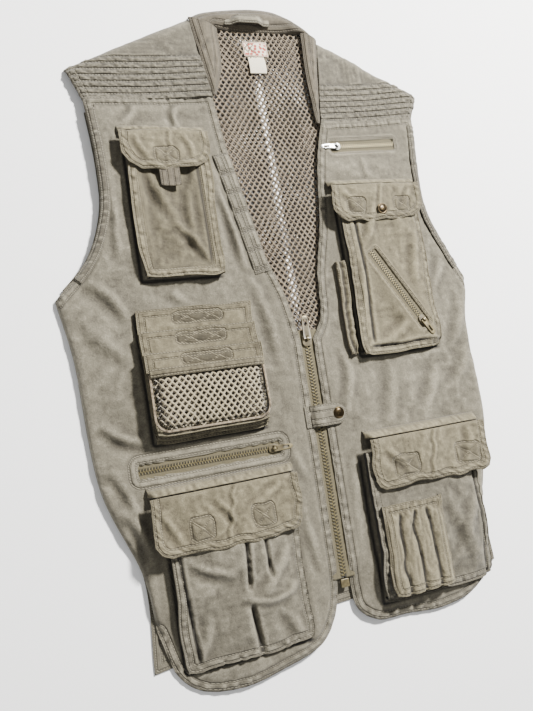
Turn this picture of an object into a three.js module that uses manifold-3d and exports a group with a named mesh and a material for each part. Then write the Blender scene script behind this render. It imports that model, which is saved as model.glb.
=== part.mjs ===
// A sleeveless fishing vest laid flat on its back, front side up.
// +X points to the wearer's left, +Y towards the neck, +Z up out of the front.
// All sizes are in millimetres. The rear of the vest rests on the plane z = 0.
import * as THREE from 'three';
import { mergeVertices } from 'three/addons/utils/BufferGeometryUtils.js';
import Module from 'manifold-3d';

const wasm = await Module();
wasm.setup();

// ---------------------------------------------------------------- driving dimensions
// Cloth and clearances
const cloth = 1.5; // a sewn panel: twill, facing and seam allowance together
const webbing = 1.2; // narrow woven strips, labels and hook-and-loop pads
const gap = 0.3; // clearance between pieces that lie on each other
const bodyRoom = 8; // air between the rear and the fronts where the wearer goes

// Body, as laid flat
const bodyWidth = 512; // armpit to armpit
const armpitY = 38;
const hemWidth = 431; // side seam to side seam at the hem
const hemY = -345; // rear hem at the side seams
const frontDrop = 30; // how far the rounded front hems hang below the rear hem
const shoulderSpan = 448; // shoulder tip to shoulder tip
const shoulderY = 295; // height of the shoulder tips
const collarY = 388; // top of the collar at the rear of the neck
const neckHalf = 62; // half the neck opening at the rear of the neck
const lay = -8; // the laid vest's middle line, left or right of the zip's top

// Front edges and main zip
const zipTopX = 9;
const zipTopY = -23;
const zipLean = -3; // sideways run of the main zip from its top to its foot
const mainZipLength = 285;
const tapeShow = 8; // tape seen on each side of the main chain
const yokeSeamRight = 272; // height of the quilted yoke's seam, wearer's right
const yokeSeamLeft = 248;

// Zips: width of one row of teeth and half its height, half the slot between the rows, half the
// tape, the slider's room beside the teeth, its length, and the pull's width and length
const mainChain = { bead: 3.2, rise: 1.6, slot: 0.8, tape: 14, room: 1, sliderLong: 17, pull: [9, 27] };
const pocketChain = { bead: 2.4, rise: 1.2, slot: 0.7, tape: 10.5, room: 0.4, sliderLong: 12, pull: [7, 22] };
const windowWidth = 14; // width of the slot in which a pocket zip shows

// Pockets: side edges, mouth, foot and depth off the cloth below
const chestRight = { x0: -172, x1: -78, top: 212, foot: 60, deep: 9 };
const tiers = { x0: -185, x1: -54, top: 28, foot: -116, step: 24, deep: 6.2, meshDeep: 7 };
const lowerRight = { x0: -185, x1: -40, top: -184, foot: -352, deep: 14 };
const bellows = { x0: 76, x1: 188, top: 144, foot: -52, deep: 11 };
const sidePocket = { x0: 60, x1: 73, top: 66, foot: -50, deep: 8 };
const lowerLeft = { x0: 50, x1: 203, top: -164, foot: -338, deep: 14 };
const channels = { x0: 57, x1: 139, top: -228, foot: -331, deep: 6.6, count: 4 };
const binding = 9; // stitched border round pockets and armholes

// Flaps: hinge line, free edge, corner cut
const flapRight = { x0: -177, x1: -76, hinge: 226, free: 182, corner: 18 };
const flapLeft = { x0: 67, x1: 190, hinge: 156, free: 111, corner: 16 };
const lowFlapRight = { x0: -200, x1: -36, hinge: -170, free: -232, corner: 14 };
const lowFlapLeft = { x0: 57, x1: 216, hinge: -151, free: -210, corner: 12 };
const headerWidth = 8; // sewn strip above each flap's fold
const padStack = 3.3; // room between a pocket and its flap for hook and loop pads

// Fasteners
const snapCap = 13.5; // diameter
const snapStud = 10;
const snapStem = 4;

// ---------------------------------------------------------------- levels
const frontUnder = cloth + bodyRoom;
const frontTop = frontUnder + cloth;
const onFront = frontTop + gap;
const zipLevel = frontUnder - gap - webbing / 2;

// ---------------------------------------------------------------- shape helpers
// A closed mesh as a solid that can be joined and cut.
function solid(geometry) {
  const bare = geometry.index ? geometry.toNonIndexed() : geometry.clone();
  bare.deleteAttribute('normal');
  bare.deleteAttribute('uv');
  const merged = mergeVertices(bare, 1e-4);
  const mesh = new wasm.Mesh({
    numProp: 3,
    vertProperties: new Float32Array(merged.attributes.position.array),
    triVerts: new Uint32Array(merged.index.array),
  });
  return new wasm.Manifold(mesh);
}

// A joined solid as a geometry again.
function surface(body) {
  const mesh = body.getMesh();
  const geometry = new THREE.BufferGeometry();
  geometry.setAttribute('position', new THREE.BufferAttribute(mesh.vertProperties, 3));
  geometry.setIndex(new THREE.BufferAttribute(mesh.triVerts, 1));
  return geometry;
}

function join(first, ...others) {
  return others.reduce((body, other) => body.add(other), first);
}

function cut(first, ...others) {
  return others.reduce((body, other) => body.subtract(other), first);
}

// An outline raised from z0 to z1.
function slab(points, z0, z1) {
  const shape = new THREE.Shape(points.map(([x, y]) => new THREE.Vector2(x, y)));
  const raised = new THREE.ExtrudeGeometry(shape, { depth: z1 - z0, bevelEnabled: false });
  return solid(raised.translate(0, 0, z0));
}

function block(x0, x1, y0, y1, z0, z1) {
  const box = new THREE.BoxGeometry(x1 - x0, y1 - y0, z1 - z0);
  return solid(box.translate((x0 + x1) / 2, (y0 + y1) / 2, (z0 + z1) / 2));
}

// A profile in X and Z, carried from y0 to y1.
function acrossY(points, y0, y1) {
  const shape = new THREE.Shape(points.map(([x, z]) => new THREE.Vector2(x, z)));
  const raised = new THREE.ExtrudeGeometry(shape, { depth: y1 - y0, bevelEnabled: false });
  return solid(raised.rotateX(Math.PI / 2).translate(0, y1, 0));
}

// Smooth stretch through a few points.
function curve(...points) {
  const line = new THREE.CatmullRomCurve3(points.map(([x, y]) => new THREE.Vector3(x, y, 0)));
  return line.getPoints(points.length * 3).map((p) => [p.x, p.y]);
}

// Arc from one angle to another, in degrees.
function arc(x, y, radius, from, to, steps = 5) {
  const at = (i) => THREE.MathUtils.degToRad(from + ((to - from) * i) / steps);
  return Array.from({ length: steps + 1 }, (_, i) => [
    x + radius * Math.cos(at(i)),
    y + radius * Math.sin(at(i)),
  ]);
}

// Strip of constant width along a line of points.
function ribbon(points, width, z0, z1) {
  const side = (sign) => points.map((point, i) => {
    const before = points[Math.max(i - 1, 0)];
    const after = points[Math.min(i + 1, points.length - 1)];
    const length = Math.hypot(after[0] - before[0], after[1] - before[1]);
    const normal = [-(after[1] - before[1]) / length, (after[0] - before[0]) / length];
    return [point[0] + sign * normal[0] * width / 2, point[1] + sign * normal[1] * width / 2];
  });
  return slab([...side(1), ...side(-1).reverse()], z0, z1);
}

const olive = { tape: 0x7a7054, chain: 0x6f6549, paint: 0x8a7d5c };
const looks = {
  twill: { color: 0x9a917f, roughness: 0.95 },
  lining: { color: 0xb5a58c, roughness: 0.97 },
  tape: { color: olive.tape, roughness: 0.9 },
  paint: { color: olive.paint, roughness: 0.5, metalness: 0.3 },
  silver: { color: 0xb9b7b0, roughness: 0.35, metalness: 0.9 },
  brass: { color: 0x6b5330, roughness: 0.4, metalness: 0.9 },
  pad: { color: 0x8c8369, roughness: 1 },
  label: { color: 0xd8d2c0, roughness: 0.9 },
};

const vest = new THREE.Group();

// A named piece in a group of its own body.
function piece(name, look, body, parent = vest) {
  const mesh = new THREE.Mesh(surface(body), new THREE.MeshStandardMaterial(looks[look]));
  mesh.name = name;
  parent.add(mesh);
}

// ---------------------------------------------------------------- body outlines
const side = { right: -1, left: 1 };
const middle = lay;
const zipFootY = zipTopY - mainZipLength;
const zipFootX = zipTopX + zipLean;

// Landmarks of one half; `s` is -1 for the wearer's right and 1 for the left.
function landmarks(s) {
  const yokeSeam = s < 0 ? yokeSeamRight : yokeSeamLeft;
  const shoulder = [middle + s * shoulderSpan / 2 + 9, shoulderY - s * 12];
  return {
    yokeSeam,
    shoulder,
    armpit: [middle + s * bodyWidth / 2, armpitY - s * 10],
    yokeOuter: [shoulder[0] - s * 15, yokeSeam + (s < 0 ? -1 : 3)],
    yokeInner: [zipTopX + s * (neckHalf + 5), yokeSeam + (s < 0 ? 5 : -6)],
    neckTop: [zipTopX + s * (neckHalf + 20), collarY - (s < 0 ? 13 : 35)],
    neckInner: [zipTopX + s * (neckHalf - (s < 0 ? 14 : 1)), collarY - 26],
    hem: [middle + s * hemWidth / 2 + 8, hemY + (s < 0 ? 0 : 20)],
  };
}
const R = landmarks(side.right);
const L = landmarks(side.left);

// Side seam from the armpit down to the hem, slightly drawn in at the waist.
function sideSeam(mark, s) {
  const waist = (mark.armpit[0] + mark.hem[0]) / 2 + s * 4;
  const run = mark.armpit[1] - mark.hem[1];
  return curve(
    mark.armpit,
    [mark.armpit[0] - s * 10, mark.armpit[1] - run * 0.15],
    [waist, mark.armpit[1] - run * 0.52],
    [mark.hem[0] - s * 2, mark.armpit[1] - run * 0.75],
    mark.hem,
  );
}

// Armhole from the yoke's outer end down to the armpit.
function armhole(mark, s) {
  const drop = mark.yokeOuter[1] - mark.armpit[1];
  const inset = mark.yokeOuter[0] - s * 5;
  return curve(
    mark.yokeOuter,
    [inset, mark.yokeOuter[1] - drop * 0.35],
    [inset + s * 3, mark.yokeOuter[1] - drop * 0.58],
    [inset + s * 24, mark.yokeOuter[1] - drop * 0.82],
    mark.armpit,
  );
}

// ---------------------------------------------------------------- rear of the vest
const meshFoot = -40; // where the mesh upper back meets the twill lower back

function acrossBelow(points, y) {
  return points.filter((p) => p[1] < y);
}
function acrossAbove(points, y) {
  return points.filter((p) => p[1] > y);
}
const backSideX = (mark, s) => {
  const line = sideSeam(mark, s);
  const i = line.findIndex((p) => p[1] < meshFoot);
  const t = (line[i - 1][1] - meshFoot) / (line[i - 1][1] - line[i][1]);
  return line[i - 1][0] + t * (line[i][0] - line[i - 1][0]);
};
const seamRight = backSideX(R, side.right);
const seamLeft = backSideX(L, side.left);

piece('back_panel', 'twill', slab([
  [seamLeft, meshFoot],
  ...acrossBelow(sideSeam(L, side.left), meshFoot),
  ...curve(L.hem, [zipTopX + 60, hemY + 21], [zipTopX - 60, hemY + 17], R.hem).slice(1, -1),
  ...acrossBelow(sideSeam(R, side.right), meshFoot).reverse(),
  [seamRight, meshFoot],
], 0, cloth));

const collarDrop = 27; // how far the rear neckline lies below the collar's top
piece('back_mesh', 'lining', slab([
  [seamRight, meshFoot + gap],
  ...acrossAbove(sideSeam(R, side.right), meshFoot + gap).reverse(),
  ...armhole(R, side.right).reverse().slice(1),
  R.shoulder,
  R.neckTop,
  [zipTopX - 64, collarY - 4],
  [zipTopX + 30, collarY + 3],
  [zipTopX + neckHalf + 10, collarY - collarDrop],
  L.neckTop,
  L.shoulder,
  ...armhole(L, side.left).slice(0, -1),
  ...acrossAbove(sideSeam(L, side.left), meshFoot + gap),
  [seamLeft, meshFoot + gap],
], 0, cloth));

// ---------------------------------------------------------------- fronts
const frontHem = {
  right: curve(
    [zipFootX - tapeShow, zipFootY],
    [zipFootX - 17, zipFootY - 28],
    [zipFootX - 38, zipFootY - 52],
    [-80, hemY - frontDrop],
    [-125, hemY - frontDrop - 6],
    [-170, hemY - frontDrop + 2],
    [-192, hemY - 8],
    [R.hem[0] + 8, hemY + 40],
  ),
  left: curve(
    [L.hem[0] - 8, hemY + 40],
    [204, hemY + 18],
    [170, hemY - 8],
    [125, hemY - frontDrop + 14],
    [80, hemY - frontDrop + 18],
    [zipFootX + 36, zipFootY - 46],
    [zipFootX + 12, zipFootY - 28],
    [zipFootX + tapeShow, zipFootY],
  ),
};

// Long edge of the V neck from the yoke's seam to the top of the zip.
const vEdge = {
  right: curve(R.yokeInner, [-47, 180], [-25, 80], [-8, 28], [zipTopX - tapeShow, zipTopY]),
  left: curve([zipTopX + tapeShow, zipTopY], [31, 0], [38, 55], [52, 117], [62, 190], L.yokeInner),
};

// Slot in which a pocket zip shows: from just past the resting slider to the chain's far end.
const slotPast = 2;
function zipWindow(zip, z0, z1) {
  const head = pocketChain.sliderLong / 2 + slotPast;
  const length = zip.length + head;
  const slot = new THREE.BoxGeometry(windowWidth, length, z1 - z0);
  slot.translate(0, head - length / 2, (z0 + z1) / 2);
  slot.rotateZ(zip.turn);
  return solid(slot.translate(zip.x, zip.y, 0));
}

// Each zip: where the slider rests, which way its pull points, and how long the chain is.
const hipZip = { x: -53, y: -141, length: 152, turn: -Math.PI / 2 };
const chestZip = { x: 92, y: 212, length: 84, turn: THREE.MathUtils.degToRad(92) };
const slantZip = { x: 163, y: -18, length: 106, turn: THREE.MathUtils.degToRad(-149) };
const mainZip = {
  x: zipTopX,
  y: zipTopY,
  length: mainZipLength,
  turn: Math.atan2(zipLean, mainZipLength),
};

// Sewn strip above a flap's fold, up to the flap's underside.
function header(flap, top) {
  const y0 = flap.hinge + cloth / 2 + gap;
  return block(flap.x0, flap.x1, y0, y0 + headerWidth, frontTop - cloth / 2, top);
}
const flapLevel = (pocket) => onFront + pocket.deep + padStack;

// Wall that closes the side of the vest between the rear and the front.
function sideWall(mark, s) {
  const line = sideSeam(mark, s).map(([x, y]) => [x - s * cloth, y]).slice(1, -3);
  return ribbon(line, cloth, cloth + gap, frontUnder + cloth / 2);
}

const tab = { x0: -8, x1: 42, y0: -126, y1: -101, fold: -1.8 };

const frontRight = cut(
  join(
    slab([
      ...vEdge.right,
      ...frontHem.right,
      ...sideSeam(R, side.right).reverse().filter((p) => p[1] > hemY + 45),
      ...armhole(R, side.right).reverse().slice(1, -1),
      [R.yokeOuter[0], R.yokeOuter[1] - gap],
      [R.yokeInner[0], R.yokeInner[1] - gap],
    ].filter((p) => p[1] < R.yokeInner[1] - gap / 2), frontUnder, frontTop),
    sideWall(R, side.right),
    header(flapRight, flapLevel(chestRight)),
    header(lowFlapRight, flapLevel(lowerRight)),
    block(tab.x0, tab.fold - cloth / 2 - gap, tab.y0, tab.y1, frontTop - cloth / 2, onFront),
  ),
  zipWindow(hipZip, frontUnder - 1, frontTop + 1),
);

// The right front is cut along the hip pocket's zip: a part above it, a part below it,
// and a facing at each end of the slot between them.
const wide = bodyWidth;
const slotTop = hipZip.y + windowWidth / 2;
const slotFoot = hipZip.y - windowWidth / 2;
const slice = (x0, x1, y0, y1) => frontRight.intersect(block(x0, x1, y0, y1, 0, onFront + wide));
piece('front_panel_right', 'twill', slice(-wide, wide, slotTop, wide));
piece('front_lower_right', 'twill', slice(-wide, wide, -wide, slotFoot));
piece('hip_facing_front', 'twill', slice(hipZip.x, wide, slotFoot + gap, slotTop - gap));
piece('hip_facing_side', 'twill', slice(-wide, hipZip.x, slotFoot + gap, slotTop - gap));

piece('front_panel_left', 'twill', cut(
  join(
    slab([
      ...vEdge.left.slice(0, -1),
      [L.yokeInner[0], L.yokeInner[1] - gap],
      [L.yokeOuter[0], L.yokeOuter[1] - gap],
      ...armhole(L, side.left).slice(1, -1),
      ...sideSeam(L, side.left).filter((p) => p[1] > hemY + 65),
      ...frontHem.left,
    ], frontUnder, frontTop),
    sideWall(L, side.left),
    header(flapLeft, flapLevel(bellows)),
    header(lowFlapLeft, flapLevel(lowerLeft)),
  ),
  zipWindow(chestZip, frontUnder - 1, frontTop + 1),
));

// Quilted shoulder yokes, each with a seam wall down to the rear shoulder.
function yoke(mark, s) {
  const top = slab([
    [mark.neckTop[0] + s * gap, mark.neckTop[1]],
    mark.shoulder,
    mark.yokeOuter,
    [mark.yokeInner[0] + s * gap, mark.yokeInner[1]],
  ], frontUnder, frontTop);
  const seam = [mark.neckTop, mark.shoulder].map(([x, y]) => [x + s * gap, y - cloth]);
  const inset = [[seam[0][0] + s * 4, seam[0][1] - 2], [seam[1][0] - s * 4, seam[1][1] + 1]];
  return join(top, ribbon(inset, cloth, cloth + gap, frontUnder + cloth / 2));
}
piece('yoke_right', 'twill', yoke(R, side.right));
piece('yoke_left', 'twill', yoke(L, side.left));

// Folded facings that run from the collar down the neck opening.
function neckband(mark, s) {
  return slab([
    [mark.neckTop[0] - s * gap, mark.neckTop[1]],
    [mark.yokeInner[0] - s * gap, mark.yokeInner[1] + gap],
    [mark.yokeInner[0] - s * 5, mark.yokeInner[1] + gap],
    ...curve(
      [mark.yokeInner[0] - s * 8, mark.yokeInner[1] + 30],
      [mark.neckInner[0] - s * 2, mark.neckInner[1] - 50],
      mark.neckInner,
    ),
  ], frontUnder, frontTop);
}
piece('neckband_right', 'twill', neckband(R, side.right));
piece('neckband_left', 'twill', neckband(L, side.left));

// Collar band across the rear of the neck.
piece('back_collar', 'twill', slab([
  [R.neckTop[0] + 1, R.neckTop[1] + gap * 2],
  [zipTopX - 64, collarY - 4],
  [zipTopX + 30, collarY + 3],
  [zipTopX + neckHalf + 10, collarY - collarDrop],
  [L.neckTop[0] - 1, L.neckTop[1] + gap * 2],
  [L.neckInner[0], L.neckInner[1] + gap * 2],
  [zipTopX + 20, collarY - collarDrop],
  [zipTopX - 20, collarY - collarDrop],
  [R.neckInner[0], R.neckInner[1] + gap * 2],
], cloth + gap, frontTop));

// Hanging loop bowed off the collar.
const hanger = { half: 29, y0: 366, y1: 377, rise: 6 };
piece('hanger_loop', 'twill', acrossY([
  [-hanger.half, onFront],
  [-hanger.half + 7, onFront],
  ...curve([-hanger.half + 11, onFront + hanger.rise], [0, onFront + hanger.rise + 0.6],
    [hanger.half - 11, onFront + hanger.rise]),
  [hanger.half - 7, onFront],
  [hanger.half, onFront],
  [hanger.half, onFront + webbing],
  [hanger.half - 6, onFront + webbing],
  ...curve([hanger.half - 10, onFront + hanger.rise + webbing],
    [0, onFront + hanger.rise + webbing + 0.6],
    [-hanger.half + 10, onFront + hanger.rise + webbing]),
  [-hanger.half + 6, onFront + webbing],
  [-hanger.half, onFront + webbing],
], hanger.y0, hanger.y1));

const label = { x0: -8, x1: 23, y0: 330, y1: 349 };
piece('neck_label', 'label', block(label.x0, label.x1, label.y0, label.y1, cloth + gap, cloth + gap + webbing));
piece('care_label', 'label', block(label.x0 + 4, label.x1 - 6, label.y0 - 22, label.y0 - gap,
  cloth + gap, cloth + gap + 2 * webbing));

// Bound edges of the armholes.
function armBinding(mark, s) {
  const line = armhole(mark, s).map(([x, y]) => [x - s * (binding / 2 + 1), y]);
  return ribbon(line.slice(1, -2), binding, onFront, onFront + webbing);
}
piece('armhole_binding_right', 'twill', armBinding(R, side.right));
piece('armhole_binding_left', 'twill', armBinding(L, side.left));

// ---------------------------------------------------------------- rod and tool strip
// Webbing tacked down at equal steps, bowed between the tacks.
const strip = { x: -61, y: 204, width: 20, length: 142, steps: 6, bow: 2.4, turn: 11.5 };
function tackedStrip() {
  const pitch = strip.length / strip.steps;
  const lower = [];
  for (let i = 0; i < strip.steps; i += 1) {
    lower.push([i * pitch, onFront], [i * pitch + 5, onFront], [i * pitch + 9, onFront + strip.bow],
      [(i + 1) * pitch - 4, onFront + strip.bow]);
  }
  lower.push([strip.length, onFront], [strip.length + 5, onFront]);
  const upper = lower.map(([y, z]) => [y, z + webbing]).reverse();
  const profile = new THREE.Shape([...lower, ...upper].map(([y, z]) => new THREE.Vector2(y, z)));
  const raised = new THREE.ExtrudeGeometry(profile, { depth: strip.width, bevelEnabled: false });
  raised.rotateX(Math.PI / 2).rotateZ(-Math.PI / 2).translate(strip.width / 2, 0, 0);
  raised.rotateZ(THREE.MathUtils.degToRad(strip.turn));
  return solid(raised.translate(strip.x, strip.y, 0));
}
piece('tool_strip', 'twill', tackedStrip());

// ---------------------------------------------------------------- pockets
// A pocket as a tray turned over on the cloth: open at its mouth and at the back.
function tray(p, base, round = 4, foot = p.foot, top = p.top, deep = p.deep) {
  const outer = slab([
    [p.x0, top],
    ...arc(p.x0 + round, foot + round, round, 180, 270),
    ...arc(p.x1 - round, foot + round, round, 270, 360),
    [p.x1, top],
  ], base, base + deep);
  const room = block(p.x0 + cloth, p.x1 - cloth, foot + cloth, top + 1, base - 1, base + deep - cloth);
  return cut(outer, room);
}

piece('chest_pocket_right', 'twill', join(
  tray(chestRight, onFront),
  // Raised stitched border round the pocket's face.
  cut(
    block(chestRight.x0, chestRight.x1, chestRight.foot + 4, flapRight.free - 4,
      onFront + chestRight.deep - cloth / 2, onFront + chestRight.deep + webbing),
    block(chestRight.x0 + binding, chestRight.x1 - binding, chestRight.foot + 4 + binding,
      chestRight.top, onFront, onFront + chestRight.deep + 2 * webbing),
  ),
));

// Three stepped flat pockets, each mouth below the last, under a bag of net.
const tierBase = (i) => onFront + i * (tiers.deep + gap);
const tierNames = ['tier_pocket_upper', 'tier_pocket_middle', 'tier_pocket_lower'];
tierNames.forEach((name, i) => {
  const top = tiers.top - i * tiers.step;
  piece(name, 'twill', tray(tiers, tierBase(i), 4, tiers.foot + 4 * i, top));
});
const meshTop = tiers.top - 3 * tiers.step;
piece('mesh_pocket', 'lining', tray(
  { x0: tiers.x0 + 2, x1: tiers.x1 - 2 },
  tierBase(3), 16, tiers.foot + 12, meshTop, tiers.meshDeep,
));

piece('side_pocket_left', 'twill', tray(sidePocket, onFront, 3));

// Elastic-topped row of narrow tool channels on the lower left pocket.
const channelBase = onFront + lowerLeft.deep + gap;
const channelWall = (channels.x1 - channels.x0) / channels.count;
piece('channel_pocket_left', 'twill', join(
  tray(channels, channelBase, 4),
  ...Array.from({ length: channels.count - 1 }, (_, i) => {
    const x = channels.x0 + (i + 1) * channelWall;
    return block(x - cloth / 2, x + cloth / 2, channels.foot + cloth / 2, channels.top,
      channelBase, channelBase + channels.deep - cloth / 2);
  }),
));

// Inner bags of the two zipped pockets, hung under the fronts.
const bagDeep = 3;
function innerBag(x0, x1, foot, top) {
  const z1 = frontUnder - gap;
  const outer = block(x0, x1, foot, top, z1 - bagDeep, z1);
  return cut(outer, block(x0 + cloth, x1 - cloth, foot + cloth, top + 1, z1 - bagDeep + webbing, z1 + 1));
}
piece('hip_pocket_bag', 'lining', innerBag(hipZip.x - hipZip.length, hipZip.x,
  hipZip.y - 110, hipZip.y - pocketChain.tape - 1));
piece('chest_pocket_bag', 'lining', innerBag(chestZip.x, chestZip.x + chestZip.length,
  chestZip.y - 90, chestZip.y - pocketChain.tape - 3));

// ---------------------------------------------------------------- flaps
// A flap lies from its fold down to its free edge and turns up about the fold.
function flapBody(flap, z) {
  const { x0, x1, corner } = flap;
  const panel = slab([
    [x0, flap.hinge],
    [x0, flap.free + corner],
    [x0 + corner * 0.35, flap.free + corner * 0.35],
    [x0 + corner, flap.free],
    [x1 - corner, flap.free],
    [x1 - corner * 0.35, flap.free + corner * 0.35],
    [x1, flap.free + corner],
    [x1, flap.hinge],
  ], z, z + cloth);
  const fold = new THREE.CylinderGeometry(cloth / 2, cloth / 2, x1 - x0, 12);
  fold.rotateZ(Math.PI / 2).translate((x0 + x1) / 2, flap.hinge, z + cloth / 2);
  return join(panel, solid(fold));
}

// Hook pads sewn under a flap and loop pads sewn on its pocket, one above the other.
// `lefts` are the pads' left edges; they start `lift` above the flap's free edge.
const padThick = (padStack - gap) / 2;
function padBlocks(flap, row, z0, z1) {
  return row.lefts.map((x) => block(x, x + row.width, flap.free + row.lift,
    flap.free + row.lift + row.height, z0, z1));
}
function hookPads(flap, pocket, row, rise = cloth / 2) {
  return padBlocks(flap, row, flapLevel(pocket) - padThick, flapLevel(pocket) + rise);
}
function loopPads(flap, pocket, row, sink = cloth / 2) {
  const face = onFront + pocket.deep;
  return padBlocks(flap, row, face - sink, face + padThick);
}
const padRows = {
  chestRight: { lefts: [-141], width: 27, lift: 5, height: 12 },
  chestLeft: { lefts: [90, 152], width: 15, lift: 12, height: 13 },
  lowerRight: { lefts: [-160, -91], width: 19, lift: 14, height: 17 },
  lowerLeft: { lefts: [86, 172], width: 29, lift: 15, height: 17 },
};

piece('chest_flap_right', 'twill', flapBody(flapRight, flapLevel(chestRight)));
piece('chest_hook_pad_right', 'pad', hookPads(flapRight, chestRight, padRows.chestRight, -gap)[0]);
piece('chest_loop_pad_right', 'pad', loopPads(flapRight, chestRight, padRows.chestRight, -gap)[0]);
piece('lower_flap_right', 'twill', join(
  flapBody(lowFlapRight, flapLevel(lowerRight)),
  ...hookPads(lowFlapRight, lowerRight, padRows.lowerRight),
));
piece('lower_flap_left', 'twill', join(
  flapBody(lowFlapLeft, flapLevel(lowerLeft)),
  ...hookPads(lowFlapLeft, lowerLeft, padRows.lowerLeft),
));

const capAt = { x: 131, y: 124 };
const bore = (x, y, z, r) => {
  const hole = new THREE.CylinderGeometry(r, r, 6, 20).rotateX(Math.PI / 2);
  return solid(hole.translate(x, y, z));
};
const stemHole = snapStem / 2 + gap;
piece('chest_flap_left', 'twill', cut(
  join(flapBody(flapLeft, flapLevel(bellows)), ...hookPads(flapLeft, bellows, padRows.chestLeft)),
  bore(capAt.x, capAt.y, flapLevel(bellows), stemHole),
));

// Pockets closed by those flaps carry the matching loop pads.
piece('lower_pocket_right', 'twill', join(
  tray(lowerRight, onFront, 10), ...loopPads(lowFlapRight, lowerRight, padRows.lowerRight),
));
piece('lower_pocket_left', 'twill', join(
  tray(lowerLeft, onFront, 10), ...loopPads(lowFlapLeft, lowerLeft, padRows.lowerLeft),
));
piece('bellows_pocket_left', 'twill', cut(
  join(tray(bellows, onFront, 5), ...loopPads(flapLeft, bellows, padRows.chestLeft)),
  zipWindow(slantZip, onFront + bellows.deep - 2 * cloth, onFront + bellows.deep + 1),
));

// Square pads sewn inside the mouths of the three flat pockets.
const tierPad = { x0: -144, width: 53, height: 15 };
['upper', 'middle', 'lower'].forEach((name, i) => {
  const y1 = tiers.top - i * tiers.step - 4;
  const z1 = tierBase(i) + tiers.deep - cloth - gap;
  piece(`tier_pad_${name}`, 'pad', block(tierPad.x0, tierPad.x0 + tierPad.width,
    y1 - tierPad.height, y1, z1 - webbing, z1));
});

// Folded webbing pull sewn to the free edge of the right chest flap.
const pull = { x0: -142, x1: -111, foot: 163 };
const pullLevel = flapLevel(chestRight);
piece('flap_pull_loop', 'twill', cut(
  block(pull.x0 + 4, pull.x1 - 4, pull.foot, flapRight.free - gap, pullLevel - 1.2, pullLevel + 2.2),
  block(pull.x0, pull.x1, pull.foot + webbing, flapRight.free + 1, pullLevel, pullLevel + 1),
));

// ---------------------------------------------------------------- snaps
const studBase = 0.8;
const socketDeep = padStack - 3 * gap - studBase; // socket ring below the cloth
const recessDeep = socketDeep - 0.4;

// Cap, stem and socket in one: turned about Z, with the stud's recess in its underside.
function snapTop(x, y, under, wall) {
  const r = snapCap / 2;
  const stem = snapStem / 2;
  const cap = under + wall + gap;
  const socket = under - gap;
  const profile = [
    [0, socket - socketDeep + recessDeep], [stem - 0.5, socket - socketDeep + recessDeep],
    [stem - 0.5, socket - socketDeep], [r - 1.6, socket - socketDeep],
    [r - 1.6, socket], [stem, socket], [stem, cap], [r, cap], [r - 0.2, cap + 0.5],
    [r * 0.6, cap + 1.3], [r * 0.3, cap + 1.6], [0, cap + 1.7],
  ];
  const turned = new THREE.LatheGeometry(profile.map(([px, pz]) => new THREE.Vector2(px, pz)), 28);
  return solid(turned.rotateX(Math.PI / 2).translate(x, y, 0));
}
function snapFoot(x, y, base) {
  const r = snapStud / 2;
  const post = snapStem / 2 - 0.5 - gap;
  const tip = base + studBase + recessDeep / 2;
  const profile = [[0, base], [r, base], [r, base + studBase], [post, base + studBase], [post, tip], [0, tip]];
  const turned = new THREE.LatheGeometry(profile.map(([px, pz]) => new THREE.Vector2(px, pz)), 28);
  return solid(turned.rotateX(Math.PI / 2).translate(x, y, 0));
}
piece('flap_snap_cap', 'brass', snapTop(capAt.x, capAt.y, flapLevel(bellows), cloth));
piece('flap_snap_stud', 'brass', snapFoot(capAt.x, capAt.y, onFront + bellows.deep + gap));

// ---------------------------------------------------------------- storm tab over the main zip
const tabCap = { x: 31, y: (tab.y0 + tab.y1) / 2 };
const tabLow = onFront + padStack - gap;
const tabHigh = frontTop + 5.4;
function stormTab() {
  const lower = [
    [tab.fold, onFront], [0, onFront + 1], ...curve([3, tabHigh - 1], [9, tabHigh], [15, tabHigh - 1]),
    [20, tabLow], [tab.x1, tabLow],
  ];
  const upper = lower.map(([x, z]) => [x, z + cloth]).reverse();
  const strap = acrossY([...lower, ...upper], tab.y0, tab.y1);
  const fold = new THREE.CylinderGeometry(cloth / 2, cloth / 2, tab.y1 - tab.y0, 12);
  fold.translate(tab.fold, (tab.y0 + tab.y1) / 2, onFront + cloth / 2);
  const round = (tab.y1 - tab.y0) / 2;
  const end = slab([[tab.fold - 2, tab.y0], ...arc(tab.x1 - round, tab.y0 + round, round, -90, 90, 12),
    [tab.fold - 2, tab.y1]], 0, tabHigh + 3 * cloth);
  return join(strap, solid(fold)).intersect(end);
}
piece('storm_tab', 'twill', cut(stormTab(), bore(tabCap.x, tabCap.y, tabLow, stemHole)));
piece('tab_snap_cap', 'brass', snapTop(tabCap.x, tabCap.y, tabLow, cloth));
piece('tab_snap_stud', 'brass', snapFoot(tabCap.x, tabCap.y, onFront));

// ---------------------------------------------------------------- zips
// Every zip is built along its own -Y from the place where its slider rests;
// z = 0 is the middle of the tape, and the pull points along +Y.
const tapeHalf = webbing / 2;

// One side of a zip: woven tape with the chain's teeth along its inner edge.
function zipSide(chain, sign, from, to, bare) {
  const x0 = sign * chain.slot;
  const x1 = sign * (chain.slot + chain.bead);
  const x2 = sign * chain.tape;
  const [lo, hi] = [Math.min(x0, x2), Math.max(x0, x2)];
  const [blo, bhi] = [Math.min(x0, x1), Math.max(x0, x1)];
  return join(
    block(lo, hi, to, from, -tapeHalf, tapeHalf),
    block(blo, bhi, to + bare, from - bare, -chain.rise, chain.rise),
  );
}

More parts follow.
